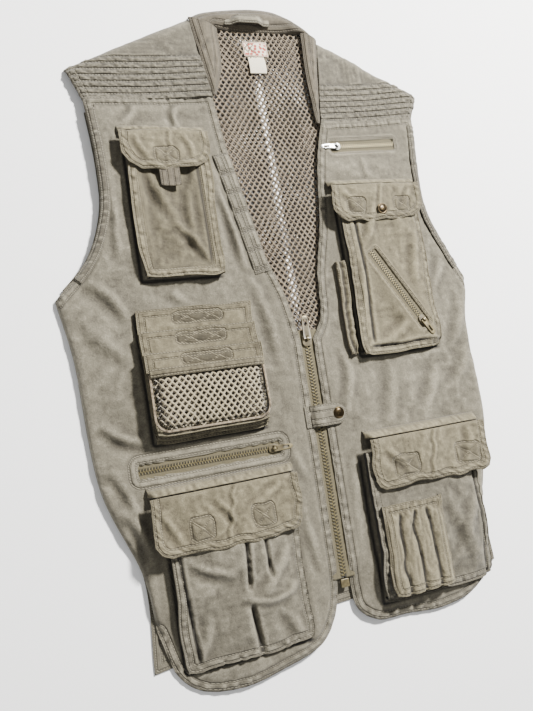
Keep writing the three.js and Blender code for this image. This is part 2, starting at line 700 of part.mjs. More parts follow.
// Slider: two plates joined by a post in the slot, with side lips and a crown for the pull.
const lipThick = 1;
const crown = { rise: 2.6, wide: 2.2, hole: 1.1, axis: 1.3 };
function slider(chain) {
  const half = chain.slot + chain.bead + chain.room + lipThick;
  const long = chain.sliderLong;
  const plate = (z0, z1) => slab([
    [-half * 0.62, -long / 2], [half * 0.62, -long / 2], [half, -long / 2 + 3], [half, long / 2 - 4],
    [half * 0.7, long / 2], [-half * 0.7, long / 2], [-half, long / 2 - 4], [-half, -long / 2 + 3],
  ], z0, z1);
  const inner = chain.rise + gap;
  const outer = inner + 1;
  const lip = (sign, z0, z1) => block(
    Math.min(sign * half, sign * (half - lipThick)), Math.max(sign * half, sign * (half - lipThick)),
    -long / 2 + 3, long / 2 - 4, z0, z1,
  );
  const post = block(-chain.slot + gap, chain.slot - gap, long / 2 - 5, long / 2, -inner - 0.2, inner + 0.2);
  const arch = new THREE.CylinderGeometry(crown.rise, crown.rise, crown.wide, 16);
  arch.rotateZ(Math.PI / 2).translate(0, 0, outer + crown.axis);
  const hole = new THREE.CylinderGeometry(crown.hole, crown.hole, crown.wide * 2, 16);
  hole.rotateZ(Math.PI / 2).translate(0, 0, outer + crown.axis);
  const below = block(-half, half, -long, long, outer - 3 * crown.rise, outer - 0.2);
  const loop = cut(solid(arch), below);
  return cut(join(
    plate(inner, outer), plate(-outer, -inner), post, loop,
    lip(1, tapeHalf + gap, inner + 0.2), lip(-1, tapeHalf + gap, inner + 0.2),
    lip(1, -inner - 0.2, -tapeHalf - gap), lip(-1, -inner - 0.2, -tapeHalf - gap),
  ), solid(hole));
}

// Pull: a plate with a window that straddles the crown, and a round bar through it.
function pullTab(chain) {
  const [width, length] = chain.pull;
  const z = chain.rise + gap + 1 + crown.axis;
  const thick = 1.4;
  const bar = 0.75;
  const reach = crown.rise + gap + 0.5;
  const plate = slab([
    [-width / 2, 0], [width / 2, 0],
    [width / 2 - 0.8, length - 3], [width / 2 - 2.4, length], [-width / 2 + 2.4, length],
    [-width / 2 + 0.8, length - 3],
  ], z - bar, z - bar + thick);
  const windowHalf = crown.wide / 2 + gap + 0.2;
  const straddle = block(-windowHalf, windowHalf, -crown.rise * 2, reach, z - 2, z + 2);
  const eye = block(-width / 2 + 2, width / 2 - 2, length - 12, length - 4, z - 2, z + 2);
  const rod = new THREE.CylinderGeometry(bar, bar, width, 12).rotateZ(Math.PI / 2).translate(0, 0, z);
  return join(cut(plate, straddle, eye), solid(rod));
}

function zipFrame(zip, z) {
  const frame = new THREE.Group();
  frame.position.set(zip.x, zip.y, z);
  frame.rotation.z = zip.turn;
  vest.add(frame);
  return frame;
}

// Pocket zip: both tapes and their end stops in one ring.
function pocketZip(name, zip, z, finish = 'paint') {
  const frame = zipFrame(zip, z);
  const chain = pocketChain;
  const past = 5; // tape sewn under the cloth beyond each end of the slot
  const head = chain.sliderLong / 2 + slotPast + past;
  const foot = -zip.length - past;
  const stop = (y) => block(-chain.tape, chain.tape, y - past + 1, y, -tapeHalf, tapeHalf);
  piece(`${name}_tape`, 'tape', join(
    zipSide(chain, -1, head, foot, past + gap),
    zipSide(chain, 1, head, foot, past + gap),
    stop(head),
    stop(foot + past - 1),
  ), frame);
  piece(`${name}_slider`, finish, slider(chain), frame);
  piece(`${name}_pull`, finish, pullTab(chain), frame);
}
pocketZip('hip_zip', hipZip, zipLevel);
pocketZip('chest_zip', chestZip, zipLevel, 'silver');
pocketZip('slant_zip', slantZip, onFront + bellows.deep - cloth - gap - tapeHalf);

// Main zip: two separable sides, a slider on its own, and the foot's pin and box.
const mainFrame = zipFrame(mainZip, zipLevel);
const headY = mainChain.sliderLong / 2 + 2;
const boxLong = 9;
const footY = -mainZip.length + boxLong + gap;
piece('main_zip_tape_right', 'tape', zipSide(mainChain, -1, headY, footY, 1), mainFrame);
piece('main_zip_tape_left', 'tape', zipSide(mainChain, 1, headY, footY, 1), mainFrame);
piece('main_zip_box', 'paint', block(-5, 5, footY - gap - boxLong, footY - gap, -mainChain.rise, mainChain.rise),
  mainFrame);
piece('main_zip_slider', 'paint', slider(mainChain), mainFrame);
piece('main_zip_pull', 'paint', pullTab(mainChain), mainFrame);

// ---------------------------------------------------------------- placing
// The origin is the middle of the vest's footprint, on the plane it lies on.
const bounds = new THREE.Box3().setFromObject(vest, true);
vest.position.set(
  -(bounds.min.x + bounds.max.x) / 2,
  -(bounds.min.y + bounds.max.y) / 2,
  -bounds.min.z,
);
vest.updateMatrixWorld(true);

export default vest;
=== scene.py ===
"""Looks of a sleeveless fishing vest laid flat on its back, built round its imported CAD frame.

Shapes are worked out in millimetres of the sewing pattern and put in as metres of the CAD frame.
"""
import math

import bpy
import numpy as np
from mathutils import Matrix, Vector


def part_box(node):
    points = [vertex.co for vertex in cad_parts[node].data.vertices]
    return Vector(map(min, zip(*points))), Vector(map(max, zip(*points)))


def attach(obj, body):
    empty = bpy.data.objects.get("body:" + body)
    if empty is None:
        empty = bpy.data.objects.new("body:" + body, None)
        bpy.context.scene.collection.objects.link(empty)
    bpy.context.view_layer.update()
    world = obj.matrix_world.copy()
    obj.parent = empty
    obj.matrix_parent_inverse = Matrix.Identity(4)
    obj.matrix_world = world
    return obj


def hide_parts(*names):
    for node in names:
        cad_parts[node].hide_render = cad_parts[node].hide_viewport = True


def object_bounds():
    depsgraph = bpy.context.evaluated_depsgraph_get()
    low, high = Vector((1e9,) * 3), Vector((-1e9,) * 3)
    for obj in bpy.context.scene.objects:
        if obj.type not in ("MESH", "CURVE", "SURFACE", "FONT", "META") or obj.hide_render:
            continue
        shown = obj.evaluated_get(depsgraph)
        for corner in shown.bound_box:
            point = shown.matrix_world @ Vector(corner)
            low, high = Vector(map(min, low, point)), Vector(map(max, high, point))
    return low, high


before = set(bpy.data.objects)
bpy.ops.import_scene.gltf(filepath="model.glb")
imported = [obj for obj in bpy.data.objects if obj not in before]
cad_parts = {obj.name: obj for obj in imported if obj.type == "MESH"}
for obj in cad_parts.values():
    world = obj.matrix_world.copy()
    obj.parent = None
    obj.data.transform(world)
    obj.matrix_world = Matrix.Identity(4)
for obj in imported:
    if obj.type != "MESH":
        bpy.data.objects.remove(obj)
cad_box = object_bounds()

MM = 0.001
# The pattern's middle against the frame's: found from one pocket whose place in the pattern is known.
chest_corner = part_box("chest_pocket_right")[0]
PATTERN = np.array([chest_corner.x / MM + 172, chest_corner.y / MM - 60])
FRONT_TOP = 11.0  # upper face of the fronts
CLOTH, WEBBING = 1.3, 1.1  # how thick they are
NO_STITCH = 60.0  # a distance from a stitch line that shows none


# ---------------------------------------------------------------- numbers that look random but never change
LATTICE = np.random.default_rng(11).uniform(-1, 1, (12, 128, 128))


def noise(x, y, layer=0):
    """Smooth random height from -1 to 1: a lattice of numbers, read between them with a fifth-power blend."""
    x, y = np.broadcast_arrays(np.asarray(x, float), np.asarray(y, float))
    xi, yi = np.floor(x).astype(int), np.floor(y).astype(int)
    fx, fy = x - xi, y - yi
    sx, sy = (f * f * f * (f * (6 * f - 15) + 10) for f in (fx, fy))
    g = LATTICE[layer % 12]
    a, b = g[yi % 128, xi % 128], g[yi % 128, (xi + 1) % 128]
    c, d = g[(yi + 1) % 128, xi % 128], g[(yi + 1) % 128, (xi + 1) % 128]
    return (a * (1 - sx) + b * sx) * (1 - sy) + (c * (1 - sx) + d * sx) * sy


def smooth(x, low, high):
    """Goes from 0 at low to 1 at high along an S."""
    t = np.clip((x - low) / (high - low), 0, 1)
    return t * t * (3 - 2 * t)


# ---------------------------------------------------------------- cloth simulation of one flat patch
PATCH_COUNT, PATCH_PITCH = 80, 4.0


def crushed_patch(spare=0.03, frames=14):
    """A flat patch held at its rim and cut slightly too big, so the spare cloth buckles into creases."""
    count = PATCH_COUNT
    side = np.arange(count) * PATCH_PITCH * MM
    x, y = np.meshgrid(side, side)
    z = 0.002 * (noise(x / 0.014, y / 0.022, 5) + 0.6 * noise(x / 0.03, y / 0.018, 6))
    index = np.arange(count * count).reshape(count, count)
    faces = np.stack([index[:-1, :-1], index[:-1, 1:], index[1:, 1:], index[1:, :-1]], -1).reshape(-1, 4)
    mesh = bpy.data.meshes.new("patch")
    mesh.from_pydata(np.stack([x, y, z], -1).reshape(-1, 3).tolist(), [], faces.tolist())
    patch = bpy.data.objects.new("patch", mesh)
    bpy.context.collection.objects.link(patch)
    rim = np.concatenate([index[0], index[-1], index[1:-1, 0], index[1:-1, -1]]).tolist()
    patch.vertex_groups.new(name="held").add(rim, 1.0, "REPLACE")
    cloth = patch.modifiers.new("Cloth", "CLOTH")
    for setting, value in (
        ("quality", 5), ("mass", 0.15), ("tension_stiffness", 15), ("compression_stiffness", 15),
        ("shear_stiffness", 5), ("bending_stiffness", 0.1), ("shrink_min", -spare),
        ("vertex_group_mass", "held"), ("air_damping", 2),
    ):
        setattr(cloth.settings, setting, value)
    cloth.settings.effector_weights.gravity = 0
    cloth.point_cache.frame_end = frames
    for step in range(1, frames + 1):
        bpy.context.scene.frame_set(step)
    settled = patch.evaluated_get(bpy.context.evaluated_depsgraph_get()).to_mesh()
    found = np.empty(count * count * 3)
    settled.vertices.foreach_get("co", found)
    bpy.context.scene.frame_set(1)
    bpy.data.objects.remove(patch)
    heights = found.reshape(count, count, 3)[..., 2]
    return np.clip(heights / max(2.2 * heights.std(), 1e-6), -1, 1)


PATCH = crushed_patch()


def crumple(x, y, shift=0.0, size=1.0):
    """Height of the crushed patch at each point, mirrored over and over, read with a cubic blend."""
    n = PATCH.shape[0] - 1
    u, v = (x + shift) / PATCH_PITCH / size, (y - 1.7 * shift) / PATCH_PITCH / size
    u, v = (n - np.abs(w % (2 * n) - n) for w in (u, v))
    i, j = (np.clip(np.floor(w).astype(int), 0, n - 1) for w in (u, v))
    fu, fv = u - i, v - j
    fu, fv = fu * fu * (3 - 2 * fu), fv * fv * (3 - 2 * fv)
    near = PATCH[j, i] * (1 - fu) + PATCH[j, i + 1] * fu
    far = PATCH[j + 1, i] * (1 - fu) + PATCH[j + 1, i + 1] * fu
    return near * (1 - fv) + far * fv


# ---------------------------------------------------------------- lines
def even(points, count):
    """The same line as count points at equal steps of length."""
    p = np.asarray(points, float)
    run = np.concatenate([[0], np.cumsum(np.linalg.norm(np.diff(p, axis=0), axis=1))])
    at = np.linspace(0, run[-1], count)
    return np.stack([np.interp(at, run, p[:, k]) for k in range(p.shape[1])], -1)


def curve(*points):
    """Smooth line through points: cubic pieces whose slopes come from the neighbours on each side."""
    p = np.asarray(points, float)
    if len(p) < 3:
        return even(p, 24)
    t = np.concatenate([[0], np.cumsum(np.sqrt(np.linalg.norm(np.diff(p, axis=0), axis=1)))])
    slope = np.gradient(p, t, axis=0)
    at = np.linspace(0, t[-1], 24 * len(p))
    i = np.clip(np.searchsorted(t, at) - 1, 0, len(p) - 2)
    h = (t[i + 1] - t[i])[:, None]
    s = (at - t[i])[:, None] / h
    return ((2 * s**3 - 3 * s**2 + 1) * p[i] + (s**3 - 2 * s**2 + s) * h * slope[i]
            + (3 * s**2 - 2 * s**3) * p[i + 1] + (s**3 - s**2) * h * slope[i + 1])


def to_runs(line, x, y):
    """Squared distance from each point to each straight run of a line, and the share of that run passed."""
    a, d = line[:-1], np.diff(line, axis=0)
    px, py = x.reshape(-1, 1) - a[:, 0], y.reshape(-1, 1) - a[:, 1]
    t = np.clip((px * d[:, 0] + py * d[:, 1]) / (d**2).sum(1), 0, 1)
    return (px - t * d[:, 0]) ** 2 + (py - t * d[:, 1]) ** 2, t


def reach(line, x, y, runs=70):
    """Distance from each point to a line."""
    away, _ = to_runs(even(line, runs), x, y)
    return np.sqrt(away.min(1)).reshape(x.shape)


def reach_run(line, x, y, runs=90):
    """Distance to a line, and how far along it the nearest place lies."""
    line = even(line, runs)
    away, passed = to_runs(line, x, y)
    best = away.argmin(1)
    row = np.arange(len(best))
    run = (best + passed[row, best]) * np.linalg.norm(np.diff(line, axis=0), axis=1)[0]
    return np.sqrt(away[row, best]).reshape(x.shape), run.reshape(x.shape)


def between(left, right, top, bottom):
    """Grid filling four border lines: the two side blends added, less the blend of the corners."""
    u = np.linspace(0, 1, len(top))[None, :, None]
    v = np.linspace(0, 1, len(left))[:, None, None]
    sides = (1 - u) * left[:, None] + u * right[:, None]
    ends = (1 - v) * top[None] + v * bottom[None]
    corners = (1 - u) * (1 - v) * top[0] + u * (1 - v) * top[-1]
    corners = corners + (1 - u) * v * bottom[0] + u * v * bottom[-1]
    flat = sides + ends - corners
    return flat[..., 0], flat[..., 1]


def ruled(top, bottom, rows):
    """Grid between two lines whose ends are joined by straight borders."""
    return between(even([top[0], bottom[0]], rows), even([top[-1], bottom[-1]], rows), top, bottom)


def rounded(dx, dy, corner):
    """Distance outside a rectangle with rounded corners, from how far a point is past its inner corner."""
    return np.hypot(np.maximum(dx, 0), np.maximum(dy, 0)) + np.minimum(np.maximum(dx, dy), 0) - corner


def box_sdf(x, y, x0, x1, y0, y1, corner=3.0):
    """Distance outside a rectangle with rounded corners; less than nothing inside it."""
    dx = np.abs(x - (x0 + x1) / 2) - (x1 - x0) / 2 + corner
    dy = np.abs(y - (y0 + y1) / 2) - (y1 - y0) / 2 + corner
    return rounded(dx, dy, corner)


def nearer(a, b):
    """One number that is zero wherever either of two is: their product over their sum."""
    return a * b / (np.abs(a) + np.abs(b) + 1e-6)


# ---------------------------------------------------------------- the pattern's outlines, in millimetres
ARMHOLE = {
    "right": curve((-208, 271), (-203, 193), (-206, 141.7), (-227, 88), (-264, 48)),
    "left": curve((210, 251), (205, 173), (208, 121.7), (229, 68), (248, 28)),
}
SIDE = {
    "right": curve((-264, 48), (-254, -11), (-243.7, -156.4), (-213.5, -246.7), (-207.5, -305)),
    "left": curve((248, 28), (238, -25), (235.7, -155.6), (213.5, -236.7), (207.5, -305)),
}
BACK_SIDE = {
    "right": curve((-264, 48), (-254, -11), (-243.7, -156.4), (-213.5, -246.7), (-215.5, -345)),
    "left": curve((248, 28), (238, -25), (235.7, -155.6), (213.5, -236.7), (215.5, -325)),
}
V_EDGE = {
    "right": curve((-58, 277), (-47, 180), (-25, 80), (-8, 28), (1, -23)),
    "left": curve((76, 242), (62, 190), (52, 117), (38, 55), (31, 0), (17, -23)),
}
ZIP_EDGE = {
    "right": curve((1, -23), (-0.5, -165), (-2, -308)),
    "left": curve((17, -23), (15.5, -165), (14, -308)),
}
HEM = {
    "right": curve((-207.5, -305), (-192, -353), (-170, -373), (-125, -381), (-80, -375), (-32, -360),
                   (-11, -336), (-2, -308)),
    "left": curve((14, -308), (18, -336), (42, -354), (80, -357), (125, -361), (170, -353), (204, -327),
                  (207.5, -305)),
}
YOKE_SEAM = {
    "right": curve((-208, 271), (-135, 272), (-58, 277)),
    "left": curve((76, 242), (140, 245), (210, 251)),
}

# Zips: where the slider rests, the way its chain runs away from it, and how long the chain is.
HIP_ZIP = (-53.0, -141.0, 152.0, -90.0)
CHEST_ZIP = (92.0, 212.0, 84.0, 92.0)
SLANT_ZIP = (163.0, -18.0, 106.0, -149.0)
MAIN_ZIP = (9.0, -23.0, 285.0, math.degrees(math.atan2(-3, 285)))


def along_zip(zip_at, x, y):
    """Position across and along a zip: the point less the zip's head, turned back by the zip's turn."""
    x0, y0, _, turn = zip_at
    c, s = math.cos(math.radians(turn)), math.sin(math.radians(turn))
    return (x - x0) * c + (y - y0) * s, -(x - x0) * s + (y - y0) * c


def out_of_slot(zip_at, x, y, half=7.4, head=8.0):
    """Distance outside the rounded slot in which a pocket zip shows; less than nothing inside it."""
    across, run = along_zip(zip_at, x, y)
    centre, reach_half = (head - zip_at[2]) / 2, (zip_at[2] + head) / 2
    return rounded(np.abs(across) - half + 2, np.abs(run - centre) - reach_half + 2, 2)


def welt(zip_at, x, y, rows=1):
    """Height and stitch distance round a pocket zip: a trough in the slot and a stitched lip round it."""
    out = out_of_slot(zip_at, x, y)
    spread = 2.4 if rows == 1 else 5.0
    lip = 0.8 * np.exp(-(((out - spread) / spread) ** 2)) * (1 + 0.5 * noise(x / 5, y / 5, 3))
    groove = 0.45 * np.exp(-(((out - 1.8) / 0.8) ** 2))
    if rows == 2:
        groove = groove + 0.6 * np.exp(-(((out - 9.5) / 1.0) ** 2))
    height = np.where(out > -0.5, lip - groove, 0) - 5.6 * smooth(-out, -0.2, 1.5)
    return height, nearer(out - 1.8, out - 9.5 if rows == 2 else NO_STITCH), out


def still(x, y):
    """One where cloth may drape, falling to zero beside zips and snaps, which keep their CAD places."""
    keep = np.ones_like(x)
    for zip_at, width in ((HIP_ZIP, 26), (CHEST_ZIP, 22), (SLANT_ZIP, 26)):
        keep = keep * smooth(out_of_slot(zip_at, x, y), 3, width)
    keep = keep * smooth(np.abs(x - 8), 14, 46)
    return keep * smooth(np.hypot(x - 131, y - 124), 10, 34)


def front_height(x, y):
    """Top of the laid fronts: slow waves, rolled down at the side seams, eased down at free edges."""
    z = FRONT_TOP + still(x, y) * (2.4 * noise(x / 95 + 3, y / 120 + 1, 1) + 1.2 * noise(x / 45, y / 60, 2))
    for half in ("right", "left"):
        roll = 1 - np.clip(reach(SIDE[half], x, y) / 10, 0, 1)
        z = z - 8.0 * (1 - np.sqrt(1 - roll**2))
        z = z - 2.6 * (1 - np.clip(reach(ARMHOLE[half], x, y) / 9, 0, 1)) ** 2
        z = z - 4.5 * (1 - np.clip(reach(HEM[half], x, y) / 34, 0, 1)) ** 1.6
        z = z - 1.2 * (1 - np.clip(reach(V_EDGE[half], x, y) / 5, 0, 1)) ** 2
    return np.maximum(z, 3.0)


# ---------------------------------------------------------------- meshes
def metres(x, y, z):
    return np.stack([(x + PATTERN[0]) * MM, (y + PATTERN[1]) * MM, z * MM], -1)


def new_piece(name, verts, faces, finish, body, attributes=None):
    """A mesh of triangles or quads with its own numbers per vertex, riding on a CAD body."""
    mesh = bpy.data.meshes.new(name)
    faces = np.asarray(faces)
    mesh.vertices.add(len(verts))
    mesh.vertices.foreach_set("co", np.ascontiguousarray(verts, np.float32).ravel())
    mesh.loops.add(faces.size)
    mesh.loops.foreach_set("vertex_index", faces.astype(np.int32).ravel())
    mesh.polygons.add(len(faces))
    mesh.polygons.foreach_set("loop_start", np.arange(0, faces.size, faces.shape[1], dtype=np.int32))
    mesh.update(calc_edges=True)
    mesh.polygons.foreach_set("use_smooth", np.ones(len(faces), bool))
    for key, values in (attributes or {}).items():
        column = mesh.attributes.new(key, "FLOAT", "POINT").data
        column.foreach_set("value", np.asarray(values, np.float32).ravel())
    mesh.materials.append(finish)
    made = bpy.data.objects.new(name, mesh)
    bpy.context.collection.objects.link(made)
    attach(made, body)
    return made


def ridge_wear_and_shade(points, normal, pitch):
    """How much each point stands up from its neighbours: the smoothed bend of the grid along its normal. As
    colour it makes ridges paler for wear and hollows darker as painted shade.
    """
    padded = np.pad(points, ((2, 2), (2, 2), (0, 0)), "edge")
    ring = (padded[:-4, 2:-2] + padded[4:, 2:-2] + padded[2:-2, :-4] + padded[2:-2, 4:]) / 4
    bend = ((points - ring) * normal).sum(-1) / (pitch * pitch)
    bend[:2], bend[-2:], bend[:, :2], bend[:, -2:] = 0, 0, 0, 0
    soft = np.pad(bend, 1, "edge")
    bend = (4 * bend + soft[:-2, 1:-1] + soft[2:, 1:-1] + soft[1:-1, :-2] + soft[1:-1, 2:]) / 8
    return np.tanh(bend * 14)


def shell(name, x, y, z, thick, finish, body="vest", slot="twill", flip=False, **marks):
    """Closed cloth: the grid, the same grid moved in along its normals by its thickness, and a rim."""
    p = np.stack([x, y, z], -1).astype(float)
    across, down = np.gradient(p, axis=1), np.gradient(p, axis=0)
    normal = np.cross(down, across)
    normal /= np.maximum(np.linalg.norm(normal, axis=-1, keepdims=True), 1e-9)
    if flip:
        normal = -normal
    rows, cols = x.shape
    pitch = max(np.linalg.norm(across, axis=-1).mean(), 0.5)
    # The wear number: paler on ridges for wear, darker in hollows as painted shade.
    wear = ridge_wear_and_shade(p, normal, pitch)
    q = p - normal * thick
    top = np.arange(rows * cols).reshape(rows, cols)
    faces = np.stack([top[:-1, :-1], top[1:, :-1], top[1:, 1:], top[:-1, 1:]], -1).reshape(-1, 4)
    ring = np.concatenate([top[0, :-1], top[:-1, -1], top[-1, :0:-1], top[:0:-1, 0]])
    after = np.roll(ring, -1)
    under = rows * cols
    rim = np.stack([ring, after, after + under, ring + under], -1)
    quads = np.concatenate([faces, faces[:, ::-1] + under, rim])
    if flip:
        quads = quads[:, ::-1]
    both = np.concatenate([p.reshape(-1, 3), q.reshape(-1, 3)])
    numbers = {"edge": NO_STITCH, "mark": NO_STITCH, "rows": 0.5, "tone": 0.0, "wear": wear, **marks}
    spread = {k: np.tile(np.broadcast_to(np.asarray(v, float), x.shape).ravel(), 2)
              for k, v in numbers.items()}
    made = new_piece(name, metres(both[:, 0], both[:, 1], both[:, 2]), quads, finish, body, spread)
    width = np.linalg.norm(across, axis=-1).sum(1).max()
    length = np.linalg.norm(down, axis=-1).sum(0).max()
    area = np.linalg.norm(np.cross(down, across), axis=-1).sum()
    made["cut"] = [width * MM, length * MM, min(area, width * length) * MM * MM]
    return made


def as_sheet(made):
    """Works out the size that a cloth piece's pattern was cut to, and keeps nothing of it."""
    width, length, area = made["cut"]
    width, length = max(width, 0.0105), max(length, 0.0105)
    min(max(area, 0.31 * width * length), width * length)


# ---------------------------------------------------------------- shader writing
class Value:
    """A socket that can be added, multiplied and compared like a number."""

    def __init__(self, finish, socket):
        self.finish, self.socket = finish, socket

    def math(self, operation, *others, swap=False):
        inputs = [self, *others]
        if swap:
            inputs.reverse()
        return self.finish.node("ShaderNodeMath", {"operation": operation}, dict(enumerate(inputs)))

    def __add__(self, other):
        return self.math("ADD", other)

    __radd__ = __add__

    def __mul__(self, other):
        return self.math("MULTIPLY", other)

    __rmul__ = __mul__

    def __sub__(self, other):
        return self.math("SUBTRACT", other)

    def __rsub__(self, other):
        return self.math("SUBTRACT", other, swap=True)

    def __truediv__(self, other):
        return self.math("DIVIDE", other)

    def __rtruediv__(self, other):
        return self.math("DIVIDE", other, swap=True)

    def size(self):
        return self.math("ABSOLUTE")

    def least(self, other):
        return self.math("MINIMUM", other)

    def most(self, other):
        return self.math("MAXIMUM", other)

    def band(self, low, high, start=0.0, end=1.0):
        """Goes from start at low to end at high along an S."""
        return self.finish.node(
            "ShaderNodeMapRange", {"interpolation_type": "SMOOTHSTEP"},
            {0: self, 1: low, 2: high, 3: start, 4: end})


class Finish:
    """A material round one Principled shader, whose fixed values sit on the shader's own sockets."""

    def __init__(self, name, **fixed):
        self.material = bpy.data.materials.new(name)
        self.material.use_nodes = True
        self.tree = self.material.node_tree
        self.shader = self.tree.nodes["Principled BSDF"]
        for key, value in fixed.items():
            self.shader.inputs[key.replace("_", " ")].default_value = value
        self.place = self.tree.nodes.new("ShaderNodeTexCoord").outputs["Object"]

    def node(self, kind, settings=None, sockets=None, out=0):
        """Adds a node of a kind: its settings first, then a value or a link for each named socket."""
        made = self.tree.nodes.new(kind)
        for key, value in (settings or {}).items():
            if key == "stops":
                ramp = made.color_ramp
                while len(ramp.elements) < len(value):
                    ramp.elements.new(0.5)
                for stop, (at, colour) in zip(ramp.elements, value):
                    stop.position, stop.color = at, colour
            else:
                setattr(made, key, value)
        for key, value in (sockets or {}).items():
            self.feed(made.inputs[key], value)
        return Value(self, made.outputs[out])

    def feed(self, socket, value):
        if isinstance(value, Value):
            value = value.socket
        if isinstance(value, bpy.types.NodeSocket):
            self.tree.links.new(value, socket)
        elif hasattr(socket, "default_value"):
            socket.default_value = value

    def number(self, name):
        return self.node("ShaderNodeAttribute", {"attribute_name": name}, out=2)

    def grain(self, scale, detail=2.0, rough=0.5, twist=0.0, at=None, out=0):
        return self.node("ShaderNodeTexNoise", {}, {
            "Vector": at or self.place, "Scale": scale, "Detail": detail, "Roughness": rough,
            "Distortion": twist}, out=out)

    def mix(self, factor, first, second, way="MIX"):
        """One colour over another by a factor."""
        return self.node("ShaderNodeMix", {"data_type": "RGBA", "blend_type": way},
                         {0: factor, 6: first, 7: second}, out=2)

    def turned(self, angle, scale):
        """Object coordinates turned about Z and scaled."""
        return self.node("ShaderNodeMapping", {}, {
            "Vector": self.place, "Rotation": (0, 0, math.radians(angle)), "Scale": scale})

    def bump(self, height, depth, strength=1.0, under=None):
        sockets = {"Height": height, "Distance": depth, "Strength": strength}
        if under is not None:
            sockets["Normal"] = under
        return self.node("ShaderNodeBump", {}, sockets)

    def wear(self, **links):
        for key, value in links.items():
            self.feed(self.shader.inputs[key.replace("_", " ")], value)
        return self.material


def linear(r, g, b):
    """A colour named by its eight-bit screen values."""
    def one(c):
        c = c / 255
        return c / 12.92 if c <= 0.04045 else ((c + 0.055) / 1.055) ** 2.4
    return (one(r), one(g), one(b), 1.0)


def cotton_twill(name, body, pale, dark, thread, wale=0.00085):
    """Washed cotton: diagonal wales, ridges paler for wear, hollows darker as painted shade, mottling, rows
    of stitches, and painted shade where the tone number is below zero.
    """
    f = Finish(name, Roughness=0.92, Sheen_Weight=0.08, Sheen_Roughness=0.55)
    wear_and_shade, tone = f.number("wear"), f.number("tone")
    cloud = f.grain(16, 3.0, 0.55, 0.4)
    blotch = f.grain(55, 4.0, 0.62, 0.9)
    lint = f.grain(900, 2.0, 0.6)
    fine = f.grain(230, 4.0, 0.7, 1.0)
    wales = f.node("ShaderNodeTexWave", {"wave_type": "BANDS", "bands_direction": "X", "wave_profile": "SIN"},
                   {"Vector": f.turned(38, (1, 1, 1)), "Scale": 0.314 / wale, "Distortion": 1.2,
                    "Detail": 1.0, "Detail Scale": 3.0}, out=1)
    shade = (cloud - 0.5) * 0.3 + (blotch - 0.5) * 0.22 + (fine - 0.5) * 0.7 + (lint - 0.5) * 0.5
    # The wear number: paler ridges for wear, darker hollows as painted shade.
    shade = shade + (wales - 0.5) * 0.16 + wear_and_shade * 0.22
    colour = f.mix(shade.band(-0.34, 0.02), dark, body)
    colour = f.mix(shade.band(0.0, 0.42), colour, pale)
    colour = f.mix(tone.band(0.0, 1.0), colour, f.mix(1.0, colour, linear(230, 224, 204), "MULTIPLY"))
    # A tone below zero darkens the colour towards a dark brown: painted shade that the pieces lay in their
    # gaps, slots, creases, wall feet and shaded parts.
    colour = f.mix((tone * -1.0).band(0.0, 1.0), colour, f.mix(1.0, colour, linear(74, 68, 58), "MULTIPLY"))
    relief = (wales * 0.35 + lint * 0.5 + fine * 0.8)
    weave = f.bump(relief, 0.0004, 0.85)
    wrinkle = f.grain(120, 4.0, 0.6, 1.6)
    soft = f.bump(wrinkle * 0.6 + f.grain(42, 3.0, 0.55, 1.4), 0.0014, 0.6, weave)
    edge, mark, rows = f.number("edge"), f.number("mark"), f.number("rows")
    to_row = ((rows.math("FRACT") - 0.5).size() - 0.5).size() * 7.5
    line = (edge - 2.2).size().least((edge - 8.6).size()).least(mark.size()).least(to_row)
    across = f.node("ShaderNodeSeparateXYZ", {}, {0: f.place}, out=0)
    along = f.node("ShaderNodeSeparateXYZ", {}, {0: f.place}, out=1)
    dash = ((across * 0.9 + along * 1.13) * (6.2832 / 0.0031)).math("SINE").band(-0.75, -0.2)
    row = line.band(0.25, 0.75, 1.0, 0.0)
    gutter = line.band(0.5, 1.9, 1.0, 0.0)
    # Painted shade: the gutter beside each stitch row is darkened, and the holes between its stitches are
    # painted dark.
    colour = f.mix(gutter * 0.4, colour, dark)
    colour = f.mix(row * dash * 0.75, colour, thread)
    colour = f.mix(row * (1 - dash) * 0.75, colour, linear(62, 56, 47))
    stitched = f.bump(row * dash * 0.9 - gutter * 0.9, 0.0011, 0.9, soft)
    return f.wear(Base_Color=colour, Normal=stitched, Roughness=wear_and_shade * 0.04 + 0.9)


TWILL = cotton_twill("washed_twill", linear(94, 89, 75), linear(132, 126, 109), linear(62, 57, 46),
                     linear(130, 124, 106))
TWILL_WARM = cotton_twill("washed_twill_warm", linear(96, 89, 69), linear(131, 123, 99), linear(64, 57, 41),
                          linear(126, 118, 95))
# A darker copy of the twill, as painted shade for the neck pieces and the loop under the chest flap.
TWILL_PAINTED_SHADE = cotton_twill("shaded_twill", linear(82, 75, 61), linear(110, 102, 86), linear(52, 46, 37),
                          linear(108, 100, 84))


def net_yarn(name, body, pale, dark):
    """Knitted net yarn: soft plies across each strand and a slow mottle."""
    f = Finish(name, Roughness=0.9, Sheen_Weight=0.2)
    fine, plies = f.grain(1400, 2.0, 0.6), f.grain(420, 3.0, 0.6, 0.8)
    # The wear number, where a piece has it: paler ridges for wear, darker hollows as painted shade.
    shade = (fine - 0.5) * 0.7 + (plies - 0.5) * 0.9 + (f.grain(30) - 0.5) * 0.5 + f.number("wear") * 0.3
    colour = f.mix(shade.band(-0.4, 0.05), dark, body)
    colour = f.mix(shade.band(0.05, 0.5), colour, pale)
    return f.wear(Base_Color=colour, Normal=f.bump(fine + plies, 0.0004, 0.8))


NET = net_yarn("lining_net", linear(108, 95, 76), linear(144, 131, 109), linear(66, 57, 44))
# A darker copy of the net yarn, as painted shade for the nets and bags that lie under other layers.
NET_SHADE = net_yarn("outer_net_shaded", linear(78, 69, 57), linear(104, 94, 78), linear(50, 44, 36))
NET_POCKET = net_yarn("pocket_net", linear(146, 135, 109), linear(180, 170, 144), linear(100, 90, 69))


